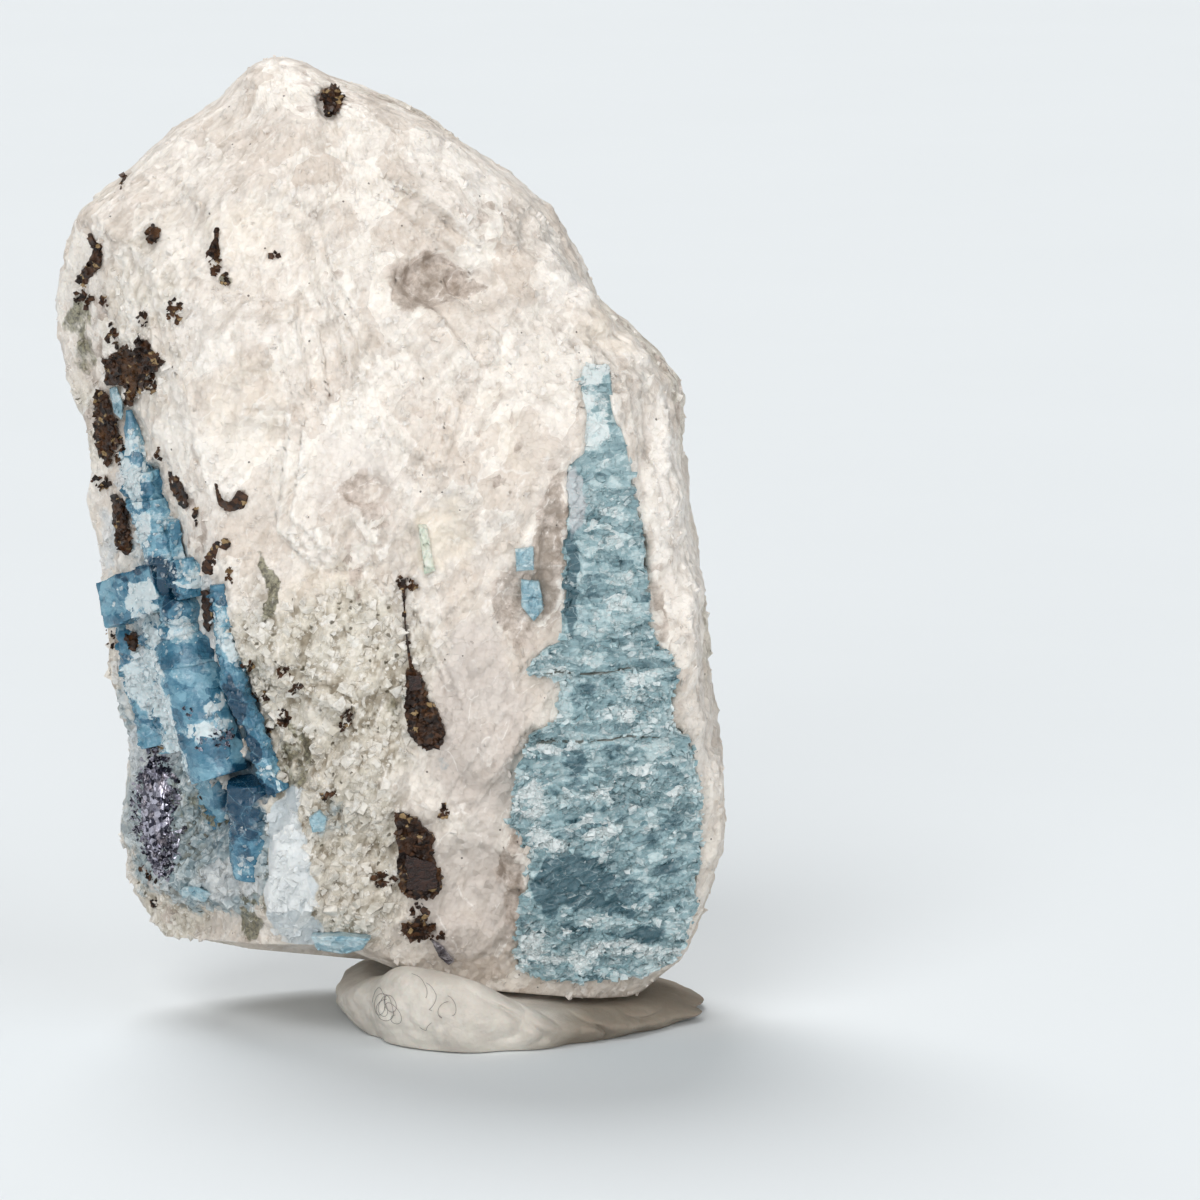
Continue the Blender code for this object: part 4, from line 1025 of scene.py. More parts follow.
def rock_finish():
    finish = Finish(
        "quartz and feldspar",
        roughness=0.42,
        subsurface_weight=0.2,
        subsurface_scale=0.001,
        subsurface_radius=(1.0, 0.85, 0.7),
    )
    warped = finish.warped(finish.place, 1.6, 1.3)
    _, tone, seam = finish.cells(1.0, finish.turned((1.9, 1.9, 3.4), CLEAVAGE_LEAN, warped))
    _, small_tone, _ = finish.cells(1.0, finish.turned((0.6, 0.6, 1.1), CLEAVAGE_LEAN, warped))
    _, grain_tone, _ = finish.cells(0.34)
    streak = finish.noise(1.0, 4.0, 0.74, finish.turned((0.8, 0.8, 3.0), CLEAVAGE_LEAN))
    clouds = finish.noise(5.5, 4.0, 0.62)
    mottle = finish.noise(0.9, 4.0, 0.7)
    fine = finish.noise(0.25, 3.0, 0.7)
    edge_noise = (finish.noise(1.3, 3.0, 0.7) - 0.5) * 1.6
    grain = finish.attribute("grain")
    crevice_shade = finish.attribute("crevice_shade")
    zone = {name: finish.attribute(name) for name in ZONES}

    grey = (tone * 0.34 + clouds * 0.6 + streak * 0.75 + small_tone * 0.16 - 0.43).rise(0.28, 0.72)
    colour = finish.blend(grey, QUARTZ_WHITE, QUARTZ_GREY)
    beige = (clouds * 0.5 + mottle * 0.5 + tone * 0.2 - 0.1).rise(0.45, 0.65)
    colour = finish.blend(beige * 0.4, colour, linear(226, 210, 194))
    colour = finish.blend(streak.rise(0.52, 0.68) * mottle.rise(0.42, 0.6) * 0.75, colour, linear(250, 244, 237))
    # The white zone: white crushed quartz, and along the right edge painted light.
    colour = finish.blend((zone["white"] + edge_noise * 0.5).rise(0.25, 0.9) * 0.6, colour, linear(248, 242, 235))
    colour = finish.blend((zone["cream"] + edge_noise * 0.6).rise(0.2, 0.9) * 0.65, colour, linear(238, 226, 210))
    colour = finish.blend((zone["rosy"] + edge_noise * 0.4).rise(0.2, 0.8) * 0.7, colour, linear(208, 198, 191))

    sugar = (zone["sugary"] + edge_noise * 0.7).rise(0.1, 1.1)
    sugar_tone = (grain_tone * 0.25 + mottle * 0.8 + clouds * 0.5 - 0.3).rise(0.2, 0.75)
    sugar_colour = finish.blend(sugar_tone, linear(188, 181, 164), linear(244, 238, 226))
    bright_grain = finish.blend(sugar_tone, linear(222, 216, 203), linear(252, 249, 242))
    sugar_colour = finish.blend(grain, sugar_colour, bright_grain)
    colour = finish.blend(sugar * 0.85, colour, sugar_colour)

    bluish = (zone["bluish"] + edge_noise).rise(0.25, 0.75)
    blue_tone = (mottle + grain_tone * 0.4 - 0.2).rise(0.15, 0.75)
    blue_colour = finish.blend(blue_tone, linear(74, 114, 132), linear(176, 194, 200))
    blue_colour = finish.blend(grain * 0.75, blue_colour, finish.blend(grain_tone, linear(140, 170, 182), linear(224, 232, 235)))
    colour = finish.blend(bluish * 0.85, colour, blue_colour)
    # Painted shade, tinted blue by the crystals, in the hollow under the barrel and the grooves beside it.
    deep = (zone["deep_blue_shade"] + edge_noise * 0.5).rise(0.3, 0.8)
    colour = finish.blend(deep * 0.9, colour, finish.blend(mottle.rise(0.3, 0.7), linear(16, 56, 78), linear(72, 116, 136)))
    frosty = (zone["frosty"] + edge_noise * 0.5).rise(0.25, 0.8)
    colour = finish.blend(frosty * 0.8, colour, finish.blend(mottle.rise(0.3, 0.7), linear(184, 192, 196), linear(236, 238, 238)))
    pale = (zone["pale_blue"] + edge_noise * 0.2).rise(0.3, 0.6)
    pale_colour = finish.blend((mottle * 0.6 + tone * 0.3 + 0.1).rise(0.25, 0.7), linear(200, 211, 217), linear(238, 243, 245))
    colour = finish.blend(pale * 0.95, colour, pale_colour)

    smoky = (zone["smoky"] + edge_noise * 0.7 + (small_tone - 0.5) * 0.6).rise(0.35, 0.7)
    smoky_colour = finish.blend((mottle - zone["smoky"] * 0.16).rise(0.2, 0.52), linear(150, 134, 120), linear(212, 199, 189))
    colour = finish.blend(smoky * 0.85, colour, smoky_colour)
    green = (zone["green"] + edge_noise * 1.2 - 0.25).rise(0.2, 0.75)
    green_colour = finish.blend(fine.rise(0.4, 0.6), linear(72, 70, 48), linear(146, 142, 114))
    colour = finish.blend(green * 0.85, colour, green_colour)

    # Painted shade: the rock is darkened towards the bottom.
    low = finish.height().rise(36.0, 6.0)
    colour = finish.blend(low * 0.3, colour, linear(196, 188, 178), "MULTIPLY")
    # Painted shade: the hollows of the fine relief are darkened, most where the rock is sugary.
    colour = finish.blend(crevice_shade * (0.25 + 0.6 * sugar) * (1.0 - pale), colour, linear(172, 163, 149), "MULTIPLY")
    # White healed cracks, partly a painted glint along their edges.
    seam_and_glint = seam.rise(0.035, 0.0) * mottle.rise(0.48, 0.6)
    colour = finish.blend(seam_and_glint * 0.45, colour, QUARTZ_SEAM_AND_GLINT)
    speck_distance, speck_number, _ = finish.cells(1.15)
    speck = speck_distance.rise(0.075, 0.045) * speck_number.rise(0.55, 0.6) * (1.0 - pale) * (1.0 - 0.9 * sugar)
    colour = finish.blend(speck * 0.85, colour, linear(62, 50, 44))
    dirt_distance, dirt_number, _ = finish.cells(0.55, finish.warped(finish.place, 0.5, 0.5))
    dirt = dirt_distance.rise(0.3, 0.16) * (dirt_number + sugar * 0.35).rise(1.1, 1.16) * (1.0 - pale)
    colour = finish.blend(dirt * 0.85, colour, linear(74, 66, 44))
    finish.wire("Base Color", colour)
    finish.wire("Roughness", 0.28 + 0.3 * fine + 0.12 * tone + 0.12 * sugar)
    chipped = finish.facets(1.0, finish.turned((1.0, 1.0, 1.8), CLEAVAGE_LEAN, warped)) * 0.34
    chipped = chipped + finish.facets(0.42) * 0.5
    finish.bump(chipped * (1.0 - 0.45 * finish.attribute("pale_blue").rise(0.2, 0.6)) + 0.06 * fine, 1.0)
    return finish.material


# %% Make the rock
rock_points, rock_zones, rock_covered = rock_surface(*rock_grid())
rock_material = rock_finish()
ROCK = make_piece("quartz_and_feldspar", closed_grid(rock_points), rock_material, ["quartz_matrix"])
rock_zones["grain"] = np.zeros_like(rock_covered)
for zone_name, strength in rock_zones.items():
    tips = [strength[0].mean(), strength[-1].mean()]
    paint(ROCK, zone_name, np.concatenate([strength.ravel(), tips]))

# %% [markdown]
# ## Grains on the rock
#
# A broken face of feldspar and crushed quartz is a crowd of angular grains, and each of them
# catches the light on its own. Thousands of small boxes with pulled in corners are half sunk into
# the surface. They crowd where the rock is sugary or frosty, along its lower edge and on the
# flanks, and keep off the smooth quartz and the crystals. Most lean as the cleavage does.

# %% Strew the grains
GRAIN_COUNT = 16500
rock_normals, _ = grid_normals(rock_points)
above_under = rock_points[..., 2] - underside_height(rock_points[..., 0], rock_points[..., 1])
crowd = 0.3 + 0.9 * rock_zones["sugary"] + 1.6 * rock_zones["frosty"] + 0.9 * rock_zones["bluish"]
crowd += 1.2 * np.clip(1.3 - above_under, 0.0, 1.0) + 0.2 * rock_zones["white"]
crowd -= 0.5 * rock_zones["cream"] + 0.7 * rock_zones["rosy"] + 0.4 * rock_zones["pale_blue"]
crowd -= rock_zones["deep_blue_shade"] + 0.3 * rock_zones["smoky"]
seen_flat = np.clip(0.25 + 1.2 * np.abs(rock_normals[..., 1]), 0.0, 1.0)
crowd = np.clip(crowd, 0.02, 1.5) * seen_flat**3 * (rock_covered < 0.05) * (above_under > 0.05)
picked = strewn(rock_points, crowd, GRAIN_COUNT, SEED + 300)
rng = np.random.default_rng(SEED + 301)
picked_sugar = np.clip(rock_zones["sugary"] + rock_zones["frosty"] + rock_zones["bluish"], 0.0, 1.0).ravel()[picked]
grain_size = (0.08 + 0.34 * rng.random(GRAIN_COUNT) ** 4) * (0.6 + 0.45 * picked_sugar)
grain_size *= seen_flat.ravel()[picked]
grain_half = grain_size[:, None] * np.stack(
    [1.5 - 0.4 * picked_sugar, np.ones(GRAIN_COUNT), 0.55 + 0.4 * picked_sugar], axis=-1
)
grain_out = rock_normals.reshape(-1, 3)[picked]
grain_places = rock_points.reshape(-1, 3)[picked] - 0.45 * grain_half[:, 2:] * grain_out
cleavage = np.array([math.sin(math.radians(CLEAVAGE_LEAN)), 0.0, math.cos(math.radians(CLEAVAGE_LEAN))])
grain_shape = grains(grain_places, grain_out, cleavage, grain_half, SEED + 302)
GRAINS = make_piece("quartz_grains", grain_shape, rock_material, [], smooth=False)
for zone_name, strength in rock_zones.items():
    paint(GRAINS, zone_name, np.repeat(strength.ravel()[picked], 8) * (zone_name != "crevice_shade"))
GRAINS.data.attributes["grain"].data.foreach_set("value", np.repeat(rng.random(GRAIN_COUNT) ** 0.7, 8).astype(np.float32))

# %% [markdown]
# ## The long crystal on the right
#
# Beryl grows as six-sided columns that split across into flat layers. Here the column has been
# broken open along its length, so its face is a wall of little ledges, like thin bricks, and each
# layer ends a little further out or in. A ring of corners is worked out for each height from the
# two edges, the grid joins the rings, and flat facets stretched sideways give the bricks.

# %% Shape of the right crystal
RIGHT_BACK = -4.6
RIGHT_DEPTH = 2.4
RIGHT_BEVEL = 0.3
# Height, and how far the crystal stands proud of the smooth rock there.
RIGHT_PROUD = np.array(
    [(3.6, 0.45), (4.9, 0.6), (8.6, 0.8), (12.4, 0.75), (16.4, 0.9), (19.4, 0.95), (22.4, 0.9), (24.5, 0.85), (31.4, 0.7),
     (35.1, 0.6), (36.0, 0.5), (38.0, 0.5), (40.6, 0.55)]
)
RIGHT_ROWS = 430
RIGHT_SIDES = (10, 8, 100, 8, 12, 8)
LAYER_HEIGHT = 0.42
# Open partings across the crystal: height, depth, and from where to where dirt lies in them.
PARTINGS = [(22.7, 0.22, 8.6, 14.4), (18.6, 0.22, 8.0, 16.1), (35.4, 0.12, 0.0, 0.0), (40.3, 0.15, 0.0, 0.0)]


def right_crystal_points():
    """Six corners at each height, from the edges and the smooth rock's depth, with points spread
    along the sides between them. Each layer's edges move by its own random amount."""
    z = np.linspace(RIGHT_EDGE_LEFT[0, 1], RIGHT_EDGE_LEFT[-1, 1], RIGHT_ROWS)
    layer = np.stack([np.floor(z / LAYER_HEIGHT), np.zeros_like(z), np.zeros_like(z)], axis=-1)
    ledge = np.interp(z, [35.0, 37.0], [0.3, 0.06])
    left = np.interp(z, RIGHT_EDGE_LEFT[:, 1], RIGHT_EDGE_LEFT[:, 0]) + ledge * (cell_random(layer, SEED) - 0.5)
    right = np.interp(z, RIGHT_EDGE_RIGHT[:, 1], RIGHT_EDGE_RIGHT[:, 0])
    right = right + ledge * (cell_random(layer, SEED + 1) - 0.5)
    proud = np.interp(z, RIGHT_PROUD[:, 0], RIGHT_PROUD[:, 1])
    bevel = np.minimum(RIGHT_BEVEL, 0.3 * (right - left))
    y_left = rock_front(left + 1.0, z) - proud
    y_right = rock_front(right - 0.6, z) - 0.6 * proud
    back = np.full_like(z, RIGHT_BACK)
    ring = [
        (left, back),
        (left, y_left + 0.6 * bevel),
        (left + 0.5 * bevel, y_left),
        (right - 0.3 * bevel, y_right),
        (right, y_right + 0.6 * bevel),
        (right, np.maximum(RIGHT_BACK, y_right + RIGHT_DEPTH)),
    ]
    sides = []
    for (corner, following), count in zip(zip(ring, ring[1:] + ring[:1]), RIGHT_SIDES):
        share = np.arange(count) / count
        sides.append(
            np.stack([a[:, None] + (b - a)[:, None] * share for a, b in zip(corner, following)], axis=-1)
        )
    flat = np.concatenate(sides, axis=1)
    points = np.concatenate([flat, np.broadcast_to(z[:, None, None], flat.shape[:2] + (1,))], axis=-1)
    tangent = np.roll(points, -1, axis=1) - np.roll(points, 1, axis=1)
    outward = np.stack([tangent[..., 1], -tangent[..., 0], np.zeros(points.shape[:2])], axis=-1)
    outward /= np.linalg.norm(outward, axis=-1, keepdims=True)
    facing = np.clip(-outward[..., 1] * 1.5, 0.15, 1.0)
    slope = np.where(points[..., 2:] < 12.5, 22.0, 0.0)
    tipped = points - np.concatenate([np.zeros_like(points[..., :2]), points[..., :1] * np.tan(np.radians(slope))], axis=-1)
    rugged = np.interp(points[..., 2], [5.0, 12.0, 20.0, 33.0, 35.0, 36.5], [1.2, 1.1, 0.9, 0.7, 0.4, 0.2])
    bricks = chips(tipped * (0.8, 0.8, 1.2), 0.8, 0.14, 0.38, SEED + 100)
    bricks += chips(tipped * (0.9, 0.9, 1.3), 0.36, 0.22, 0.14, SEED + 120)
    for height, depth, _, _ in PARTINGS:
        bricks -= depth * np.exp(-(((points[..., 2] + parting_wave(points) - height) / 0.13) ** 2))
    hollow = 0.3 * smooth_noise(points * (0.5, 0.5, 1.0), 1.9, SEED + 140)
    lift = rugged * (bricks + hollow) * facing
    return points + outward * lift[..., None]


def parting_wave(points):
    """How far a parting wanders up and down along its way."""
    return 0.25 * smooth_noise(points * (1.0, 1.0, 0.2), 1.4, SEED + 130)


# %% [markdown]
# ## Blue beryl
#
# Its colour runs from nearly white, where it is full of tiny cracks, to deep teal where it is
# clear; on the left crystals the deep tone is also painted shade in the hollow and grooves. The cracks
# lie across the column, so every pattern is stretched sideways. The gloss comes
# from a thin clear coat, and a little light travels under the surface.

# %% Finish of the beryl
BERYL_ZONES = {
    "deep": [
        (10.5, 28.2, 0.5, 3.6, 2, 1.3),
        (12.9, 28.4, 1.8, 3.2, 0, 0.3),
        (11.4, 21.2, 0.9, 1.0, 0, 0.6),
        (13.4, 17.6, 2.0, 0.4, 5, 0.5),
        (10.6, 17.4, 0.6, 1.0, 0, 0.6),
        (10.6, 9.7, 2.3, 1.7, 15, 1.1),
        (13.4, 8.7, 2.0, 1.4, 20, 0.6),
        (9.2, 9.4, 0.6, 2.2, 0, 0.6),
        (16.2, 10.4, 1.3, 0.8, 20, 0.6),
        (14.6, 6.4, 1.8, 0.7, 20, 0.7),
        (10.4, 6.6, 1.6, 0.6, 20, 0.4),
        (12.6, 13.8, 3.2, 0.6, 15, 0.5),
        (10.4, 16.0, 1.2, 0.6, 10, 0.5),
        (15.8, 12.6, 1.6, 0.5, 20, 0.5),
        # the left cluster
        (-16.9, 27.4, 1.3, 0.7, -20, 0.5),
        (-13.65, 27.4, 0.7, 1.5, 0, 1.5),
        (-14.9, 28.5, 1.6, 0.5, -18, 0.9),
        # These four rows are painted shade: the hollow under the barrel and the grooves beside it.
        (-8.9, 19.0, 0.45, 3.9, 20, 1.4),
        (-9.06, 15.7, 1.4, 0.9, 0, 1.5),
        (-10.8, 25.9, 0.35, 1.3, 0, 1.2),
        (-13.95, 19.7, 0.3, 2.1, 14, 1.1),
        (-12.0, 23.2, 1.6, 0.9, 0, 0.15),
        (-10.6, 17.0, 1.3, 0.9, 20, 0.25),
        (-8.8, 14.4, 1.7, 1.9, 0, 0.8),
        (-8.9, 12.0, 1.2, 1.4, 0, 0.4),
        (-11.6, 21.6, 1.4, 1.3, 0, 0.25),
    ],
    "milky": [
        (8.2, 15.0, 1.0, 1.6, 0, 0.9),
        (8.5, 12.4, 0.9, 1.0, 20, 0.8),
        (15.6, 14.8, 2.0, 0.5, 18, 0.6),
        (12.2, 7.4, 2.6, 0.4, 22, 0.6),
        (9.4, 4.6, 2.4, 0.5, 0, 0.9),
        (9.4, 18.1, 1.4, 0.5, 0, 0.6),
        (9.2, 22.9, 1.3, 1.2, 0, 0.35),
        (12.6, 31.8, 1.7, 2.3, 0, 0.45),
        (13.4, 27.0, 1.2, 2.4, 0, 0.35),
        (11.9, 37.8, 1.3, 2.8, 0, 1.1),
        (11.9, 40.7, 1.3, 0.6, 0, 1.6),
        (14.8, 21.2, 1.4, 2.2, 0, 0.4),
        (13.2, 15.4, 3.0, 0.8, 10, 0.5),
        (11.5, 12.9, 2.4, 0.9, 0, 0.5),
        (12.6, 10.4, 0.3, 1.2, -10, 0.7),
        (8.0, 6.4, 1.0, 1.4, 0, 0.7),
        (12.6, 5.2, 5.0, 0.6, 0, 0.7),
        # the left cluster
        (-15.75, 33.4, 0.9, 1.3, 20, 1.1),
        (-15.2, 26.3, 0.9, 1.0, 0, 1.3),
        (-14.65, 24.5, 0.8, 1.5, 10, 1.2),
        (-10.8, 20.5, 0.75, 0.8, 0, 1.0),
        (-11.3, 18.8, 1.6, 0.6, 20, 0.9),
        (-12.1, 27.9, 1.2, 1.1, 0, 0.8),
        (-13.7, 19.6, 0.8, 4.2, 14, 1.3),
        (-15.3, 20.8, 1.0, 2.2, 10, 1.3),
        (-15.4, 34.6, 0.9, 2.4, 12, 0.6),
        (-15.3, 31.6, 0.6, 2.4, 10, 0.9),
        (-8.6, 11.0, 1.5, 1.3, 0, 0.2),
        (-13.9, 30.4, 1.2, 2.6, 0, 0.35),
        (-9.8, 24.6, 0.7, 2.4, 15, 0.6),
        (-7.6, 17.4, 0.5, 2.4, 20, 0.4),
        (-12.7, 25.2, 1.3, 1.6, 0, 0.55),
    ],
    "greyish": [(10.55, 33.2, 0.6, 1.9, 0, 1.0)],
}


def beryl_finish(name, deep, middle, pale, bricks, roughness):
    """Beryl between three tones. bricks is the size (x, y, z) of its patches in millimetres."""
    finish = Finish(
        name,
        roughness=roughness,
        coat_weight=0.3,
        coat_roughness=0.15,
        subsurface_weight=0.2,
        subsurface_scale=0.0008,
        subsurface_radius=(0.5, 0.9, 1.0),
    )
    warped = finish.warped(finish.turned(bricks), 1.2, 0.5)
    _, patch, seam = finish.cells(1.0, warped, "CHEBYCHEV")
    _, small_patch, _ = finish.cells(0.45, warped, "CHEBYCHEV")
    clouds = finish.noise(2.4, 4.0, 0.65)
    mottle = finish.noise(0.8, 4.0, 0.74, warped)
    fine = finish.noise(0.2, 3.0, 0.7)
    ragged = (finish.noise(0.9, 4.0, 0.78) - 0.5) * 2.2
    depth = (finish.attribute("deep") + ragged * 0.5).rise(0.15, 1.0) * 1.2
    milk = (finish.attribute("milky") + ragged * 0.6 + (patch - 0.5) * 0.6).rise(0.35, 1.25) * 1.2
    grain = finish.attribute("grain")
    tone = clouds * 0.75 + patch * 0.42 + small_patch * 0.28 + mottle * 0.65 + milk * 0.5 - depth * 0.6 - 0.53
    colour = finish.blend(tone.rise(0.0, 0.5), deep, middle)
    colour = finish.blend(tone.rise(0.42, 0.85), colour, pale)
    veil = (mottle * 0.9 + patch * 0.2 + milk * 0.5 + grain * 0.3).rise(0.66, 1.0)
    colour = finish.blend(veil * 0.8, colour, linear(220, 228, 228))
    colour = finish.blend(finish.attribute("greyish").rise(0.3, 0.8) * 0.7, colour, linear(196, 196, 198))
    colour = finish.blend(seam.rise(0.04, 0.0) * mottle.rise(0.4, 0.6) * 0.4, colour, pale)
    dirty = (finish.attribute("parting") - mottle * 0.6).rise(0.1, 0.5)
    colour = finish.blend(dirty * 0.85, colour, linear(70, 66, 50))
    finish.wire("Base Color", colour)
    finish.wire("Roughness", roughness + 0.25 * fine + 0.2 * veil - 0.12)
    finish.bump(finish.facets(0.5, warped) * 0.13 + 0.05 * fine, 1.0)
    return finish.material


def paint_beryl(piece, points, grain=0.0, front=1.0):
    """Paints the beryl's zones on a piece, from where each point lies on the face, and the dirt in
    the partings of the long crystal. front weakens the zones where a point faces sideways."""
    x, z = points[:, 0], points[:, 2]
    for zone, rows in BERYL_ZONES.items():
        paint(piece, zone, np.clip(patches(*wandered(points), rows) * front, 0.0, 1.3))
    dirt = np.zeros_like(x)
    for height, _, first, last in PARTINGS:
        along = np.clip((x - first) / 0.5, 0.0, 1.0) * np.clip((last - x) / 0.5, 0.0, 1.0)
        dirt = np.maximum(dirt, along * np.exp(-(((z + parting_wave(points) - height) / 0.09) ** 2)))
    paint(piece, "parting", dirt)
    paint(piece, "grain", np.broadcast_to(grain, x.shape))


right_shape = closed_grid(right_crystal_points())
right_material = beryl_finish(
    "teal beryl", linear(66, 98, 108), linear(138, 166, 172), linear(190, 208, 210), (1.25, 1.25, 0.62), 0.3
)
RIGHT = make_piece("long_aquamarine", right_shape, right_material, ["aquamarine_right"])
paint_beryl(RIGHT, right_shape[0])

# %% [markdown]
# Small broken blocks of the same beryl cling to the ledges. They lie along the layers, thickest on
# the lower half and where the crystal is milky, and spill over its edges onto the rock.

# %% Blocks on the ledges
LEDGE_BLOCKS = 4200
right_grid = right_crystal_points()
right_out, _ = grid_normals(right_grid)
ledge_weights = 0.25 + patches(*wandered(right_grid), BERYL_ZONES["milky"])
ledge_weights -= 0.6 * patches(*wandered(right_grid), BERYL_ZONES["deep"])
ledge_weights = np.clip(ledge_weights, 0.03, 1.5) * np.interp(right_grid[..., 2], [4.0, 25.0, 35.0], [1.0, 0.8, 0.15])
ledge_picked = strewn(right_grid, ledge_weights * (right_out[..., 1] < -0.1), LEDGE_BLOCKS, SEED + 160)
rng = np.random.default_rng(SEED + 161)
block_half = (0.07 + 0.2 * rng.random(LEDGE_BLOCKS) ** 2)[:, None] * np.array([1.3, 0.9, 0.6])
block_places = right_grid.reshape(-1, 3)[ledge_picked] + rng.normal(0.0, 0.06, (LEDGE_BLOCKS, 3))
block_out = right_out.reshape(-1, 3)[ledge_picked]
blocks = grains(block_places, block_out, np.array([0.97, 0.0, 0.25]), block_half, SEED + 162)
BLOCKS = make_piece("ledge_blocks", blocks, right_material, [], smooth=False)
paint_beryl(BLOCKS, blocks[0], np.repeat(rng.random(LEDGE_BLOCKS), 8))

# %% [markdown]
# ## The crystals at the left edge
#
# A dozen short columns have grown side by side here: a thin point, a stepped column, a square end,
# two rounded lobes, a fat barrel and the ridge beside it. Each is a polygon swept along a straight
# axis that lies on the rock. Rounding the polygon towards a circle, and facets and grooves across
# the axis, turn the sweep into a natural crystal.

# %% Shape of the left cluster
# Start x, z, end x, z, depth of the axis below the rock, radii along it, sides, turn, rounding,
# roughness.
LEFT_CLUSTER = [
    ((-15.75, 37.5), (-15.1, 33.0), 0.0, [0.2, 0.42, 0.62, 0.85, 0.9], 6, 0, 0.2, 0.4),
    ((-14.75, 33.9), (-14.4, 31.9), 0.1, [0.8, 1.0, 0.95], 6, 20, 0.25, 0.8),
    ((-14.45, 32.3), (-14.15, 30.4), 0.0, [1.15, 1.3, 1.2], 6, 40, 0.25, 0.9),
    ((-14.05, 30.9), (-13.7, 28.5), 0.1, [1.1, 1.25, 1.2], 6, 10, 0.25, 0.9),
    ((-13.1, 31.2), (-12.85, 28.4), 0.1, [0.5, 0.6, 0.55], 4, 30, 0.1, 0.5),
    ((-13.6, 28.9), (-13.6, 26.3), 0.0, [0.7, 0.74, 0.72], 6, 15, 0.1, 0.2),
    ((-12.4, 29.0), (-11.9, 26.7), 0.3, [1.0, 1.2, 1.05], 7, 15, 0.5, 1.3),
    ((-12.75, 26.6), (-12.7, 25.1), 0.05, [0.95, 1.3, 1.32, 1.1], 8, 10, 0.8, 0.45),
    ((-12.78, 25.2), (-12.7, 23.9), 0.0, [0.95, 1.32, 1.38, 1.1], 8, 35, 0.8, 0.45),
    ((-12.5, 24.4), (-12.2, 22.6), 0.1, [1.2, 1.75, 2.0, 2.1], 12, 0, 0.85, 0.25),
    ((-12.35, 23.1), (-10.25, 15.9), 0.1, [2.0, 2.1, 2.1, 2.06, 2.06, 2.0, 1.92], 12, 0, 0.75, 0.3),
    ((-10.4, 27.8), (-9.3, 21.4), 0.3, [0.45, 0.7, 0.6, 0.75, 0.7], 5, 15, 0.3, 1.0),
    ((-9.4, 22.0), (-6.9, 15.4), 0.3, [0.65, 0.75, 0.66, 0.76, 0.65], 5, 40, 0.3, 1.0),
    ((-16.2, 24.7), (-14.2, 16.8), 0.8, [0.8, 1.1, 1.2, 1.25, 1.35], 6, 10, 0.35, 1.1),
    ((-14.7, 25.6), (-13.1, 16.8), 0.4, [0.5, 0.9, 1.0, 1.0, 1.0], 5, 10, 0.4, 1.5),
    ((-15.7, 35.0), (-14.9, 30.6), 0.6, [0.5, 0.9, 0.9, 0.7], 5, 10, 0.4, 1.4),
    ((-8.6, 15.9), (-8.35, 10.0), 0.75, [1.35, 1.5, 1.45, 1.4, 1.3], 6, 30, 0.4, 0.6),
    ((-10.3, 15.8), (-9.8, 11.8), 3.5, [1.7, 1.8, 1.7, 1.6], 5, 0, 0.5, 0.6),
]
COLUMN_TURNS = 96
ROW_STEP = 0.1
# The square end: middle x, z, half length, and the direction of its axis.
SQUARE_END = (-14.95, 26.2, 2.8)
SQUARE_END_AXIS = np.array([0.608, -0.724, 0.326])
SQUARE_END_RADIUS = 1.98
SQUARE_END_TURN = 23.8


def on_rock(x, z, below):
    """A point over a place of the face, some way under the smooth rock's surface."""
    return np.array([x, float(rock_front(np.array(x), np.array(z))) + below, z])


def column_points(first, last, radii, sides, turn, rounding, rough, seed):
    """A polygon swept along an axis: radius * cos(pi / n) / cos(angle from the side's middle),
    mixed with a circle. End rings shrink to close it, and facets move the points outwards."""
    axis = (last - first) / np.linalg.norm(last - first)
    across = np.cross(axis, (0.0, -1.0, 0.0))
    across /= np.linalg.norm(across)
    upwards = np.cross(axis, across)
    rows = int(np.linalg.norm(last - first) / ROW_STEP)
    share = np.concatenate([[0.0, 0.0, 0.0], np.linspace(0.0, 1.0, rows), [1.0, 1.0, 1.0]])
    shrink = np.concatenate([[0.3, 0.7, 0.94], np.ones(rows), [0.94, 0.7, 0.3]])
    radius = np.interp(share, np.linspace(0.0, 1.0, len(radii)), radii) * shrink
    angle = np.linspace(0.0, 2.0 * math.pi, COLUMN_TURNS, endpoint=False)
    from_middle = np.mod(angle - math.radians(turn), 2.0 * math.pi / sides) - math.pi / sides
    polygon = math.cos(math.pi / sides) / np.cos(from_middle)
    section = rounding + (1.0 - rounding) * polygon
    direction = np.cos(angle)[:, None] * across + np.sin(angle)[:, None] * upwards
    points = first + share[:, None, None] * (last - first) + (radius[:, None] * section)[..., None] * direction
    along = points * (1.0, 1.0, 1.8)
    lift = chips(along, 0.9, 0.2, 0.24, seed) + 0.7 * chips(along, 0.42, 0.22, 0.1, seed + 10)
    lift = rough * lift + 0.12 * (0.4 + rough) * smooth_noise(points, 1.1, seed + 20)
    calm = np.minimum(1.0, radius / 0.6) * shrink**2
    return points + direction * (lift * calm[:, None])[..., None]


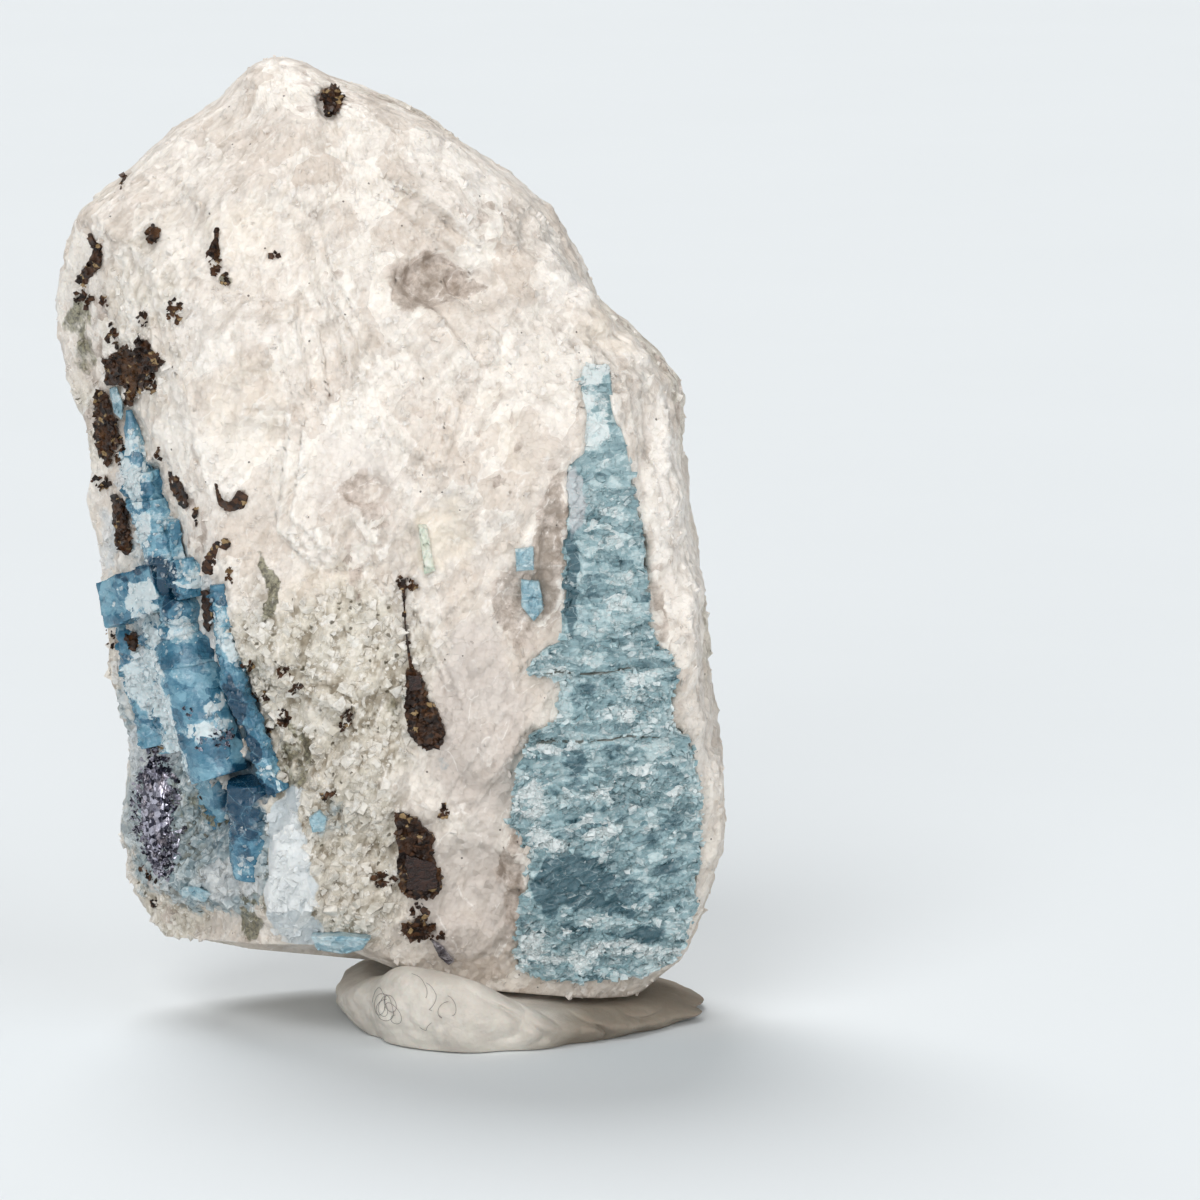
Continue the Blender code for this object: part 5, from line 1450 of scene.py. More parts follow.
# %% Make the left cluster
BARREL = 10
column_grids = []
for number, ((x0, z0), (x1, z1), below, *shape) in enumerate(LEFT_CLUSTER):
    points = column_points(on_rock(x0, z0, below), on_rock(x1, z1, below), *shape, SEED + 200 + 30 * number)
    column_grids.append(points)
middle = on_rock(*SQUARE_END[:2], 0.3)
reach = SQUARE_END[2] * SQUARE_END_AXIS
square_end = column_points(
    middle - reach, middle + reach, [SQUARE_END_RADIUS] * 2, 4, SQUARE_END_TURN, 0.0, 0.35, SEED + 600
)
column_grids.append(square_end)
left_shape = joined([closed_grid(grid) for grid in column_grids])
left_material = beryl_finish(
    "blue beryl", linear(17, 62, 87), linear(63, 115, 140), linear(122, 166, 184), (1.5, 1.5, 1.2), 0.24
)
LEFT = make_piece("aquamarine_cluster", left_shape, left_material, ["aquamarine_left_cluster"])
outward_y = [np.append(grid_normals(grid)[0][..., 1].ravel(), (0.0, 0.0)) for grid in column_grids]
paint_beryl(LEFT, left_shape[0], front=np.clip(0.35 - 1.4 * np.concatenate(outward_y), 0.2, 1.0))

# %% [markdown]
# ### Frost
#
# The crystals carry a frost of small white grains, thick in the gaps between them and on the lower
# half of the barrel. They are the same grains as the rock's, strewn over each column where its
# milky zones are.

# %% Strew the frost
FROST_DENSITY = 8.0
frost_parts = []
for number, grid in enumerate(column_grids):
    column_out, column_area = grid_normals(grid)
    milky = patches(*wandered(grid), BERYL_ZONES["milky"]) + 0.05
    weights = np.clip(milky, 0.0, 1.2) * (column_out[..., 1] < -0.1)
    count = int(FROST_DENSITY * (weights * column_area).sum())
    seed = SEED + 640 + 3 * number
    frost_picked = strewn(grid, weights, count, seed)
    frost_half = (0.05 + 0.15 * np.random.default_rng(seed + 1).random(count) ** 2)[:, None] * np.array([1.2, 1.0, 0.6])
    frost_out = column_out.reshape(-1, 3)[frost_picked]
    frost_parts.append(grains(grid.reshape(-1, 3)[frost_picked], frost_out, cleavage, frost_half, seed + 2))
frost_shape = joined(frost_parts)
FROST = make_piece("frost_grains", frost_shape, left_material, [], smooth=False)
paint_beryl(FROST, frost_shape[0], 0.9)

# %% [markdown]
# ## Small crystals
#
# These are only seen as little windows in the rock. Each is built over its outline: the outline
# is spread into a ring, rings run forward out of the rock, and then shrink over a domed face.

# %% Small crystals
RING_POINTS = 84


def ring_of(outline):
    """Points spread evenly along a closed outline, counter-clockwise as seen from the front."""
    corners = np.array(outline, dtype=float)
    following = np.roll(corners, -1, axis=0)
    if np.sum(corners[:, 0] * following[:, 1] - following[:, 0] * corners[:, 1]) < 0.0:
        corners = corners[::-1]
    closed = np.vstack([corners, corners[:1]])
    length = np.concatenate([[0.0], np.cumsum(np.linalg.norm(np.diff(closed, axis=0), axis=1))])
    wanted = np.linspace(0.0, length[-1], RING_POINTS, endpoint=False)
    return np.stack([np.interp(wanted, length, closed[:, axis]) for axis in (0, 1)], axis=-1)


def chunk_points(outline, thickness, proud, dome, rough, seed):
    """Rings over an outline: (outline - middle) * share + middle. Side rings run from the back to
    the face, then the share shrinks while the face swells by dome * (1 - share squared)."""
    ring = ring_of(outline)
    middle = ring.mean(axis=0)
    share = np.concatenate([np.ones(8), [0.97, 0.93], np.linspace(0.86, 0.08, 12)])
    inwards = np.concatenate([np.linspace(1.0, 0.1, 8), [0.04, 0.01], np.zeros(12)]) * thickness
    flat = middle + share[:, None, None] * (ring - middle)
    x, z = flat[..., 0], flat[..., 1]
    level, across, upwards = seat(outline)
    swell = dome * (1.0 - share**2)
    y = level + across * x + upwards * z - proud + (inwards - swell)[:, None]
    points = np.stack([x, y, z], axis=-1)
    lift = chips(points, 0.5, 0.3, 0.2, seed) + chips(points, 0.25, 0.3, 0.08, seed + 10)
    facing = np.clip((share < 0.999) + 0.5, 0.0, 1.0)[:, None]
    points[..., 1] -= rough * lift * facing
    points[..., 0] += 0.25 * rough * lift * (share > 0.9)[:, None]
    return points


pale_material = beryl_finish(
    "pale beryl", linear(98, 140, 158), linear(150, 180, 190), linear(198, 213, 217), (0.9, 0.9, 0.6), 0.3
)
green_material = beryl_finish(
    "green beryl", linear(176, 190, 168), linear(204, 210, 192), linear(224, 226, 214), (0.8, 0.8, 1.6), 0.3
)
for number, (name, (outline, thickness, proud)) in enumerate(SMALL_CRYSTALS.items()):
    shape = closed_grid(chunk_points(outline, thickness, proud + 0.15, 0.15, 1.0, SEED + 700 + 20 * number))
    green = name == "green_crystal"
    piece = make_piece(
        "window_" + name,
        shape,
        green_material if green else pale_material,
        [name],
    )
    paint_beryl(piece, shape[0])

# %% [markdown]
# ## Mica
#
# Mica splits into sheets, so a book of it is a pack of thin plates with ragged edges. Broken
# across, it shows a crumbly stack of flakes. Each outline gets a ragged sheet with a few smaller
# sheets on it, which leaves terraces, and loose crumbs lie on top.

# %% Plates of mica
PLATE_CORNERS = 7


def plates(middles, tilt_x, tilt_z, size, thickness, seed):
    """Thin irregular plates: seven corners at random radii round each middle, tilted, and doubled
    at a thickness. tilt_x and tilt_z are the slopes of the plate across and up the face."""
    count = len(middles)
    grid = np.stack(np.meshgrid(np.arange(count), np.arange(PLATE_CORNERS), [0], indexing="ij"), axis=-1)[:, :, 0]
    angle = 2.0 * math.pi * (np.arange(PLATE_CORNERS) + 0.6 * cell_random(grid, seed)) / PLATE_CORNERS
    radius = size[:, None] * (0.6 + 0.5 * cell_random(grid, seed + 1))
    x = radius * np.cos(angle)
    z = radius * np.sin(angle) * 0.8
    y = tilt_x[:, None] * x + tilt_z[:, None] * z
    front = middles[:, None, :] + np.stack([x, y, z], axis=-1)
    normal = np.stack([tilt_x, -np.ones(count), tilt_z], axis=-1)
    normal /= np.linalg.norm(normal, axis=-1, keepdims=True)
    back = front - normal[:, None, :] * thickness
    points = np.concatenate([front, back], axis=1).reshape(-1, 3)
    start = np.arange(count)[:, None] * 2 * PLATE_CORNERS
    corner = np.arange(PLATE_CORNERS)
    following = np.roll(corner, -1)
    front_faces = start + corner
    back_faces = start + PLATE_CORNERS + corner[::-1]
    sides = np.stack([corner, corner + PLATE_CORNERS, following + PLATE_CORNERS, following], axis=-1)
    side_faces = (start[:, :, None] + sides[None]).reshape(-1, 4)
    return points, [front_faces, back_faces, side_faces]


def scattered(count, seed, low, high):
    """Random places in a box, one row for each number."""
    cells = np.stack([np.arange(count), np.zeros(count, int), np.zeros(count, int)], axis=-1)
    low, high = np.array(low), np.array(high)
    parts = np.stack([cell_random(cells, seed + axis) for axis in range(len(low))], axis=-1)
    return low + parts * (high - low)


# %% Finish of the mica


def mica_finish():
    finish = Finish("bronze mica", roughness=0.3)
    finish.shader.inputs["Specular IOR Level"].default_value = 0.3
    _, flake, seam = finish.cells(0.42, finish.warped(finish.turned((1.0, 1.0, 0.6)), 0.4, 0.3))
    mottle = finish.noise(0.5, 5.0, 0.7)
    clouds = finish.noise(1.6, 4.0, 0.65)
    colour = finish.blend((flake * 0.7 + mottle * 0.6 - 0.2).rise(0.1, 0.85), linear(22, 11, 6), linear(78, 50, 30))
    colour = finish.blend(clouds.rise(0.52, 0.72) * 0.6, colour, linear(108, 74, 42))
    # Painted glints: some flakes are painted pale gold, as if they caught the light.
    colour = finish.blend(flake.rise(0.9, 0.95) * 0.7, colour, linear(172, 146, 104))
    colour = finish.blend(seam.rise(0.06, 0.0) * 0.6, colour, linear(24, 14, 10))
    finish.wire("Base Color", colour)
    finish.wire("Roughness", 0.22 + 0.4 * mottle)
    finish.bump(finish.facets(0.35) * 0.5 + 0.05 * mottle, 1.0)
    return finish.material


# %% Sheets of mica
# Thin curved flakes: a path on the face and the width at each of its points.
MICA_STROKES = {
    "mica_hook": (
        [(-10.4, 33.9), (-10.3, 33.2), (-10.1, 32.75), (-9.6, 32.5), (-9.05, 32.75), (-8.75, 33.35)],
        [0.14, 0.2, 0.35, 0.5, 0.85, 0.6],
    ),
    "mica_curved": (
        [(-11.0, 28.45), (-10.8, 29.1), (-10.6, 29.65), (-10.2, 30.15), (-9.6, 30.45)],
        [0.5, 0.7, 0.55, 0.7, 0.4],
    ),
    "mica_ring": (
        [(-18.1, 47.8), (-17.6, 47.2), (-17.6, 46.4), (-18.1, 45.7), (-18.7, 44.9)],
        [0.35, 0.45, 0.6, 0.55, 0.6],
    ),
    "mica_vein": (
        [(0.62, 28.3), (0.66, 27.3), (0.73, 25.7), (0.9, 24.2), (1.05, 23.2), (1.2, 22.7)],
        [0.3, 0.1, 0.07, 0.1, 0.2, 0.3],
    ),
    "mica_star": ([(-10.9, 46.9), (-10.45, 47.5), (-10.35, 48.2), (-10.3, 48.8)], [0.25, 0.7, 0.3, 0.12]),
    "mica_flake": ([(-13.1, 34.2), (-12.85, 33.4), (-12.5, 32.7), (-12.4, 32.1)], [0.35, 0.8, 0.6, 0.2]),
    "mica_blade": ([(-11.1, 27.2), (-11.05, 26.4), (-11.0, 25.6), (-11.1, 24.8)], [0.3, 0.6, 0.55, 0.2]),
}
# How crumbly each book is: number of crumbs for a square millimetre.
CRUMBS = {
    "mica_top": 26, "mica_upper_left": 20, "mica_edge": 24, "mica_left_bar": 14, "mica_middle_book": 30,
    "mica_lower_book": 14, "mica_bottom": 24, "mica_vein": 16, "mica_ring": 12, "mica_star": 8,
}
TERRACES = 3
# Cleavage faces that lie bare on the books.
MICA_FACES = {
    "mica_lower_book": [(0.7, 11.8), (1.6, 11.5), (2.45, 11.3), (2.6, 9.7), (1.9, 9.5), (0.8, 9.6)],
    "mica_middle_book": [(0.95, 22.7), (1.6, 22.7), (1.75, 21.9), (1.0, 21.8)],
}
# Loose flakes on the rock: middle x, z, half width, half height.
MICA_SPECKS = [
    (-17.1, 44.1, 0.2, 0.3), (-14.7, 43.2, 0.3, 0.5), (-12.8, 43.9, 0.4, 0.85), (-16.7, 42.0, 0.35, 0.6),
    (-16.1, 50.8, 0.3, 0.2), (-9.6, 28.5, 0.2, 0.5), (-17.1, 22.9, 0.3, 0.7), (-10.4, 46.9, 0.3, 0.9),
    (-9.8, 45.9, 0.3, 0.25), (-6.9, 47.3, 0.25, 0.2), (-8.4, 23.1, 0.4, 0.3), (-8.9, 21.7, 0.4, 0.5),
    (-7.7, 21.1, 0.6, 0.4), (-5.7, 21.8, 0.4, 0.3), (-6.5, 19.8, 0.45, 0.6), (-7.7, 18.7, 0.6, 0.6),
    (-3.8, 15.4, 0.6, 0.25), (-0.5, 10.2, 0.8, 0.45), (-2.8, 20.0, 0.3, 0.8), (1.5, 8.0, 0.5, 0.7),
    (-15.0, 8.6, 0.5, 0.35), (-14.6, 6.7, 0.3, 0.2), (-15.5, 25.1, 0.35, 0.3), (-6.4, 22.8, 0.3, 0.5),
    (0.9, 28.1, 0.7, 0.35), (2.2, 6.8, 0.9, 0.4), (-14.6, 39.6, 0.7, 0.9), (-16.2, 34.8, 0.4, 0.9),
    (-17.6, 32.6, 0.6, 0.4), (-15.9, 40.9, 0.9, 0.5), (-11.6, 31.8, 0.15, 0.5), (3.0, 14.4, 0.3, 0.4),
    (-10.9, 14.2, 0.9, 0.6), (-14.4, 16.9, 0.5, 0.5), (-13.9, 35.4, 0.2, 0.4), (-18.4, 44.0, 0.5, 0.7),
]


def stroke(path, widths):
    """The outline of a line with a width at each point: path + side * width / 2, and back again."""
    path = np.array(path, dtype=float)
    along = np.gradient(path, axis=0)
    along /= np.linalg.norm(along, axis=1, keepdims=True)
    side = np.stack([-along[:, 1], along[:, 0]], axis=-1) * np.array(widths)[:, None] / 2.0
    return np.concatenate([path + side, (path - side)[::-1]])


def ragged_sheet(ring, plane, front, thickness, ragged, seed):
    """A flat sheet: the ring, moved in and out by noise, as a front and a back face with a rim."""
    tangent = np.roll(ring, -1, axis=0) - np.roll(ring, 1, axis=0)
    outward = np.stack([tangent[:, 1], -tangent[:, 0]], axis=-1)
    outward /= np.maximum(np.linalg.norm(outward, axis=1, keepdims=True), 1e-6)
    on_edge = np.stack([ring[:, 0], np.zeros(len(ring)), ring[:, 1]], axis=-1)
    noise = smooth_noise(on_edge, 0.45, seed) + smooth_noise(on_edge, 0.16, seed + 1)
    ring = ring + outward * (ragged * noise)[:, None]
    y = plane[0] + plane[1] * ring[:, 0] + plane[2] * ring[:, 1] - front
    face = np.stack([ring[:, 0], y, ring[:, 1]], axis=-1)
    points = np.concatenate([face, face + (0.0, thickness, 0.0)])
    corner = np.arange(len(ring))
    following = np.roll(corner, -1)
    rim = np.stack([corner, corner + len(ring), following + len(ring), following], axis=-1)
    return points, [corner[None], (corner[::-1] + len(ring))[None], rim]


def book(name, outline, thickness, proud, seed):
    """A pile of sheets over an outline. The upper ones shrink towards random points of the edge,
    which leaves terraces; loose crumbs lie on top."""
    rng = np.random.default_rng(seed)
    stroked = name in MICA_STROKES
    shown = stroke(*MICA_STROKES[name]) if stroked else np.array(outline)
    ring = ring_of(shown)
    plane = seat(outline)
    proud = 0.12 if stroked else proud
    ragged = min(0.16, 0.25 * min(MICA_STROKES[name][1][1:-1])) if stroked else 0.16
    parts = [ragged_sheet(ring, plane, proud, thickness, ragged, seed)]
    for level in range(1, TERRACES + 1):
        centre = ring[rng.integers(len(ring))]
        share = 0.97 if stroked else rng.uniform(0.5, 0.85)
        smaller = centre + share * (ring - centre)
        tipped = plane + np.array([0.0, *rng.normal(0.0, 0.05, 2)])
        tipped[0] -= (tipped[1:] - plane[1:]) @ centre
        parts.append(ragged_sheet(smaller, tipped, proud + 0.05 * level, 0.07, 0.7 * ragged, seed + 10 * level))
    low, high = shown.min(axis=0), shown.max(axis=0)
    count = int(CRUMBS.get(name, 4) * np.prod(high - low)) + 4
    places = rng.uniform(low, high, (count, 2))
    places = places[depth_inside(shown, places[:, 0], places[:, 1]) > 0.0]
    if name in MICA_FACES:
        places = places[depth_inside(MICA_FACES[name], places[:, 0], places[:, 1]) < 0.0]
    if len(places):
        y = plane[0] + plane[1] * places[:, 0] + plane[2] * places[:, 1] - proud - rng.uniform(0.0, 0.25, len(places))
        middles = np.stack([places[:, 0], y, places[:, 1]], axis=-1)
        half = rng.uniform(0.08, 0.26, (len(places), 1)) * np.array([1.0, 0.8, 0.4])
        parts.append(grains(middles, np.array([0.0, -1.0, 0.0]), np.array([0.6, 0.0, 0.8]), half, seed + 30))
    return joined(parts)


def rock_face(x, z):
    """The nearest point of the rock's front to each place, and the direction out of it there."""
    front = rock_normals[..., 1].ravel() < -0.15
    points, outward = rock_points.reshape(-1, 3)[front], rock_normals.reshape(-1, 3)[front]
    away = (points[:, 0] - x[:, None]) ** 2 + (points[:, 2] - z[:, None]) ** 2
    nearest = away.argmin(axis=1)
    return points[nearest], outward[nearest]


# %% Make the books of mica
mica_material = mica_finish()
face_finish = Finish("maroon cleavage face", roughness=0.22, coat_weight=0.2)
face_finish.shader.inputs["Specular IOR Level"].default_value = 0.3
face_streak = face_finish.noise(0.5, 4.0, 0.7, face_finish.turned((1.0, 1.0, 0.35), -10.0))
face_finish.wire("Base Color", face_finish.blend(face_streak.rise(0.35, 0.7), linear(24, 12, 9), linear(60, 37, 29)))
face_finish.bump(face_streak, 0.12)
face_material = face_finish.material
for number, (name, (outline, thickness, proud)) in enumerate(MICA_BOOKS.items()):
    shape = book(name, outline, thickness, proud, SEED + 1000 + 40 * number)
    make_piece("book_of_" + name, shape, mica_material, [name], smooth=False)
    if name in MICA_FACES:
        face = ragged_sheet(ring_of(MICA_FACES[name]), seat(outline), proud + 0.3, 0.3, 0.05, SEED + 1050)
        make_piece("face_of_" + name, face, face_material, [], smooth=False)

rng = np.random.default_rng(SEED + 1700)
speck_rows = np.array(MICA_SPECKS)
speck_counts = (6 + 55 * speck_rows[:, 2] * speck_rows[:, 3]).astype(int)
speck_rows = np.repeat(speck_rows, speck_counts, axis=0)
turn, reach = rng.uniform(0.0, 2.0 * math.pi, len(speck_rows)), np.sqrt(rng.random(len(speck_rows)))
speck_x = speck_rows[:, 0] + speck_rows[:, 2] * reach * np.cos(turn)
speck_z = speck_rows[:, 1] + speck_rows[:, 3] * reach * np.sin(turn)
speck_places, speck_out = rock_face(speck_x, speck_z)
speck_half = rng.uniform(0.05, 0.2, (len(speck_rows), 1)) * np.array([1.2, 1.0, 0.4])
specks = grains(speck_places + 0.1 * speck_out, speck_out, cleavage, speck_half, SEED + 1701)
make_piece("mica_specks", specks, mica_material, [], smooth=False)

# %% [markdown]
# ## Grey blades and the metallic crust
#
# The grey blades at the foot are built as the small crystals are. The crust is thousands of tiny
# metallic plates that point every way, which is why it glitters. A few dozen more lie on the
# barrel beside it.

# %% Make the grey blades and the crust
CRUST_MIDDLE = (-14.3, 12.6)
CRUST_HALF = (1.2, 0.8, 3.6)
CRUST_TURN = 50.0
# Where the crust spreads over the rock and the barrel: x, z, half width, half height, lean, strength.
CRUST_SPREAD = [(-14.2, 10.7, 1.1, 1.6, 0, 1.2), (-14.2, 14.2, 1.1, 2.0, 5, 1.0), (-14.7, 16.9, 0.5, 0.8, 0, 0.6),
                (-12.6, 11.6, 0.5, 0.8, 0, 0.2), (-15.2, 12.6, 0.8, 2.4, 0, 0.6)]
BARREL_GLITTER = [(-10.2, 18.4, 0.7, 0.6, 0, 1.0), (-11.4, 18.2, 0.3, 0.5, 0, 0.8), (-12.2, 19.9, 0.3, 0.4, 0, 0.5),
                  (-10.8, 20.4, 0.3, 0.3, 0, 0.4)]
CRUST_PLATES = 950
CRUST_LUMPS = 650


def blade_finish():
    finish = Finish("grey blades", roughness=0.3, coat_weight=0.3)
    mottle = finish.noise(0.5, 5.0, 0.7)
    _, tone, _ = finish.cells(0.5, finish.turned((0.5, 0.5, 1.6), 30.0))
    colour = finish.blend((tone * 0.6 + mottle * 0.5).rise(0.2, 0.8), linear(70, 64, 70), linear(150, 144, 148))
    finish.wire("Base Color", colour)
    finish.bump(mottle, 0.1)
    return finish.material


def crust_finish():
    finish = Finish("metallic crust", roughness=0.25, metallic=0.7)
    _, tone, _ = finish.cells(0.35)
    mottle = finish.noise(0.8, 4.0, 0.7)
    colour = finish.blend(tone.rise(0.3, 0.95), linear(48, 48, 62), linear(190, 188, 202))
    colour = finish.blend(mottle.rise(0.5, 0.7) * 0.7, colour, linear(226, 216, 224))
    finish.wire("Base Color", colour)
    finish.wire("Roughness", 0.15 + 0.3 * mottle)
    finish.bump(mottle, 0.08)
    return finish.material


def crust_core():
    """A flattened ball (latitude by longitude), turned to lie on the flank, with facets."""
    longitude = np.linspace(0.0, 2.0 * math.pi, 72, endpoint=False)
    latitude = np.linspace(-0.48 * math.pi, 0.48 * math.pi, 60)[:, None]
    unit = np.stack(
        [np.cos(latitude) * np.cos(longitude), np.cos(latitude) * np.sin(longitude),
         np.sin(latitude) + 0.0 * longitude],
        axis=-1,
    )
    swell = 1.0 + 0.22 * chips(unit, 0.5, 1.2, 1.0, SEED + 60) + 0.12 * chips(unit, 0.2, 0.6, 0.8, SEED + 70)
    local = unit * swell[..., None] * np.array(CRUST_HALF)
    return turned_on_flank(local)


def turned_on_flank(local):
    """Turns places about the vertical, so that what faced the camera faces the left flank."""
    turn = math.radians(-CRUST_TURN)
    x = local[..., 0] * math.cos(turn) - local[..., 1] * math.sin(turn)
    y = local[..., 0] * math.sin(turn) + local[..., 1] * math.cos(turn)
    middle = on_rock(*CRUST_MIDDLE, -0.1)
    return np.stack([x, y, local[..., 2]], axis=-1) + middle


blades = closed_grid(chunk_points(*GREY_BLADES, 0.2, 1.4, SEED + 1900))
make_piece("grey_blades", blades, blade_finish(), ["grey_crystals"])

direction = scattered(260, SEED + 2000, (-1.0, -1.0, -1.0), (1.0, 1.0, 1.0))
direction /= np.linalg.norm(direction, axis=1, keepdims=True)
direction[:, 1] = -np.abs(direction[:, 1])
on_core = turned_on_flank(direction * np.array(CRUST_HALF) * 1.02)
spread = patches(rock_points[..., 0], rock_points[..., 2], CRUST_SPREAD) * (rock_normals[..., 1] < 0.1)
spread_picked = strewn(rock_points, spread, CRUST_PLATES + CRUST_LUMPS, SEED + 2005)
spread_places = rock_points.reshape(-1, 3)[spread_picked]
spread_places = spread_places + np.random.default_rng(SEED + 2004).normal(0.0, 0.08, spread_places.shape)
spread_out = rock_normals.reshape(-1, 3)[spread_picked]
barrel_points = column_grids[BARREL]
barrel_out, _ = grid_normals(barrel_points)
barrel_spread = patches(barrel_points[..., 0], barrel_points[..., 2], BARREL_GLITTER) * (barrel_out[..., 1] < -0.2)
barrel_picked = strewn(barrel_points, barrel_spread, 60, SEED + 2006)
barrel_places = (barrel_points + 0.04 * barrel_out).reshape(-1, 3)[barrel_picked]
glitter_places = np.concatenate([on_core, spread_places[:CRUST_PLATES] + 0.12 * spread_out[:CRUST_PLATES], barrel_places])
count = len(glitter_places)
glitter_extra = scattered(count, SEED + 2010, (-1.6, -1.6, 0.05), (1.6, 1.6, 0.16))
glitter = plates(glitter_places, glitter_extra[:, 0], glitter_extra[:, 1], glitter_extra[:, 2], 0.04, SEED + 2020)
lump_half = scattered(CRUST_LUMPS, SEED + 2030, (0.08, 0.08, 0.05), (0.26, 0.2, 0.14))
lumps = grains(spread_places[CRUST_PLATES:], spread_out[CRUST_PLATES:], cleavage, lump_half, SEED + 2040)
crust_shape = joined([closed_grid(crust_core()), glitter, lumps])
make_piece("glittering_crust", crust_shape, crust_finish(), ["sparkling_crust"], smooth=False)

# %% [markdown]
# ## Putty
#
# The stand is a pad of kneaded putty, pressed down by the rock's weight. Its edge bulges, and it
# is creased where it was folded. Its outline on the table is listed, a profile is carried round
# it, and creases and noise are added along the outward direction.

# %% Shape of the putty
PUTTY_OUTLINE = np.array(
    [(-2.3, 1.0), (-1.9, -4.8), (0.2, -9.6), (4.4, -11.6), (8.4, -10.4), (12.4, -7.4), (16.0, -3.8),
     (17.6, 1.6), (15.6, 7.0), (10.0, 9.6), (4.0, 9.2), (-0.8, 6.6)]
)
PUTTY_BULGE = 0.9
PUTTY_FOLDS = [(10.4, -8.9, 0.5), (14.2, -5.6, 0.45), (-1.2, -7.4, 0.4), (6.4, -11.0, 0.35)]
PUTTY_GAP = 0.4
PUTTY_TURNS = 640


def putty_points():
    """Radius by angle from the listed outline, smoothed, times a share that runs out along the
    foot, up the bulging side and in over the top. The top follows the rock's underside."""
    middle = PUTTY_OUTLINE.mean(axis=0)
    corner_angle = np.arctan2(*(PUTTY_OUTLINE - middle).T[::-1])
    corner_radius = np.linalg.norm(PUTTY_OUTLINE - middle, axis=1)
    order = np.argsort(corner_angle)
    angle = np.linspace(-math.pi, math.pi, PUTTY_TURNS, endpoint=False)
    radius = np.interp(angle, corner_angle[order], corner_radius[order], period=2.0 * math.pi)
    kernel = np.hanning(41)
    radius = np.convolve(np.concatenate([radius[-20:], radius, radius[:20]]), kernel / kernel.sum(), "valid")
    edge = middle + radius[:, None] * np.stack([np.cos(angle), np.sin(angle)], axis=-1)
    for x, y, depth in PUTTY_FOLDS:
        radius = radius - depth * np.exp(-((edge[:, 0] - x) ** 2 + (edge[:, 1] - y) ** 2) / 1.2)
    foot = np.stack([np.linspace(0.2, 0.97, 6), np.zeros(6)], axis=-1)
    side_rise = np.linspace(0.02, 0.97, 40)
    side = np.stack([1.0 + 0.02 * np.sin(math.pi * side_rise) - 0.08 * side_rise**4, side_rise], axis=-1)
    top = np.stack([np.linspace(0.9, 0.1, 14), np.ones(14)], axis=-1)
    share, rise = np.concatenate([foot, side, top]).T
    reach = radius * share[:, None] + (PUTTY_BULGE * np.sin(math.pi * rise))[:, None]
    x = middle[0] + reach * np.cos(angle)
    y = middle[1] + reach * np.sin(angle)
    z = (underside_height(x, y) - PUTTY_GAP) * rise[:, None]
    points = np.stack([x, y, z], axis=-1)
    on_side = (np.sin(math.pi * np.clip(rise, 0.0, 1.0)) ** 0.5)[:, None]
    slanted = points @ np.array([[0.5, 0.0, 0.3], [0.0, 0.4, 0.0], [0.86, 0.0, -0.17]])
    creases = 1.0 - np.abs(smooth_noise(slanted, 1.25, SEED + 3000)) * 2.0
    folded = np.clip((x - 3.0) / 4.0, 0.25, 1.0)
    lift = 0.4 * smooth_noise(points, 2.6, SEED + 3010) - 0.5 * folded * np.clip(creases, 0.0, 1.0) ** 3
    knobs = np.clip((7.0 - x) / 4.0, 0.0, 1.0) * np.clip((0.55 - rise[:, None]) / 0.3, 0.0, 1.0)
    lift += knobs * 0.4 * np.abs(smooth_noise(points, 0.9, SEED + 3040))
    lift += 0.1 * smooth_noise(points, 0.7, SEED + 3020) + 0.04 * smooth_noise(points, 0.25, SEED + 3030)
    points[..., 0] += lift * on_side * np.cos(angle)
    points[..., 1] += lift * on_side * np.sin(angle)
    return points


def putty_finish():
    finish = Finish("white putty", roughness=0.7, subsurface_weight=0.1, subsurface_scale=0.001)
    clouds = finish.noise(3.0, 4.0, 0.6)
    fine = finish.noise(0.35, 4.0, 0.7)
    colour = finish.blend(clouds.rise(0.3, 0.7), linear(194, 187, 177), linear(218, 212, 202))
    # Painted shade: the right-hand part of the pad, which lies in the rock's shade, is darkened.
    painted_shade_right = (finish.axis("X") - finish.height() * 0.6).rise(6.5, 11.0)
    colour = finish.blend(painted_shade_right * 0.85, colour, linear(150, 140, 126), "MULTIPLY")
    colour = finish.blend(fine.rise(0.6, 0.8) * 0.4, colour, linear(176, 168, 158))
    finish.wire("Base Color", colour)
    finish.wire("Roughness", 0.6 + 0.25 * fine)
    finish.bump(0.6 * fine + 0.4 * clouds, 0.15)
    return finish.material


pad = putty_points()
make_piece("kneaded_putty", closed_grid(pad), putty_finish(), ["putty_stand"])

# %% [markdown]
# ### Lint
#
# A few grey fibres stick to the putty. Each is a thin tube along a wandering line that is drawn in
# the rows and columns of the pad's own grid, so that it lies on the pad wherever the pad bulges.

# %% Lay the lint
LINT_RADIUS = 0.013
LINT_STEPS = 120
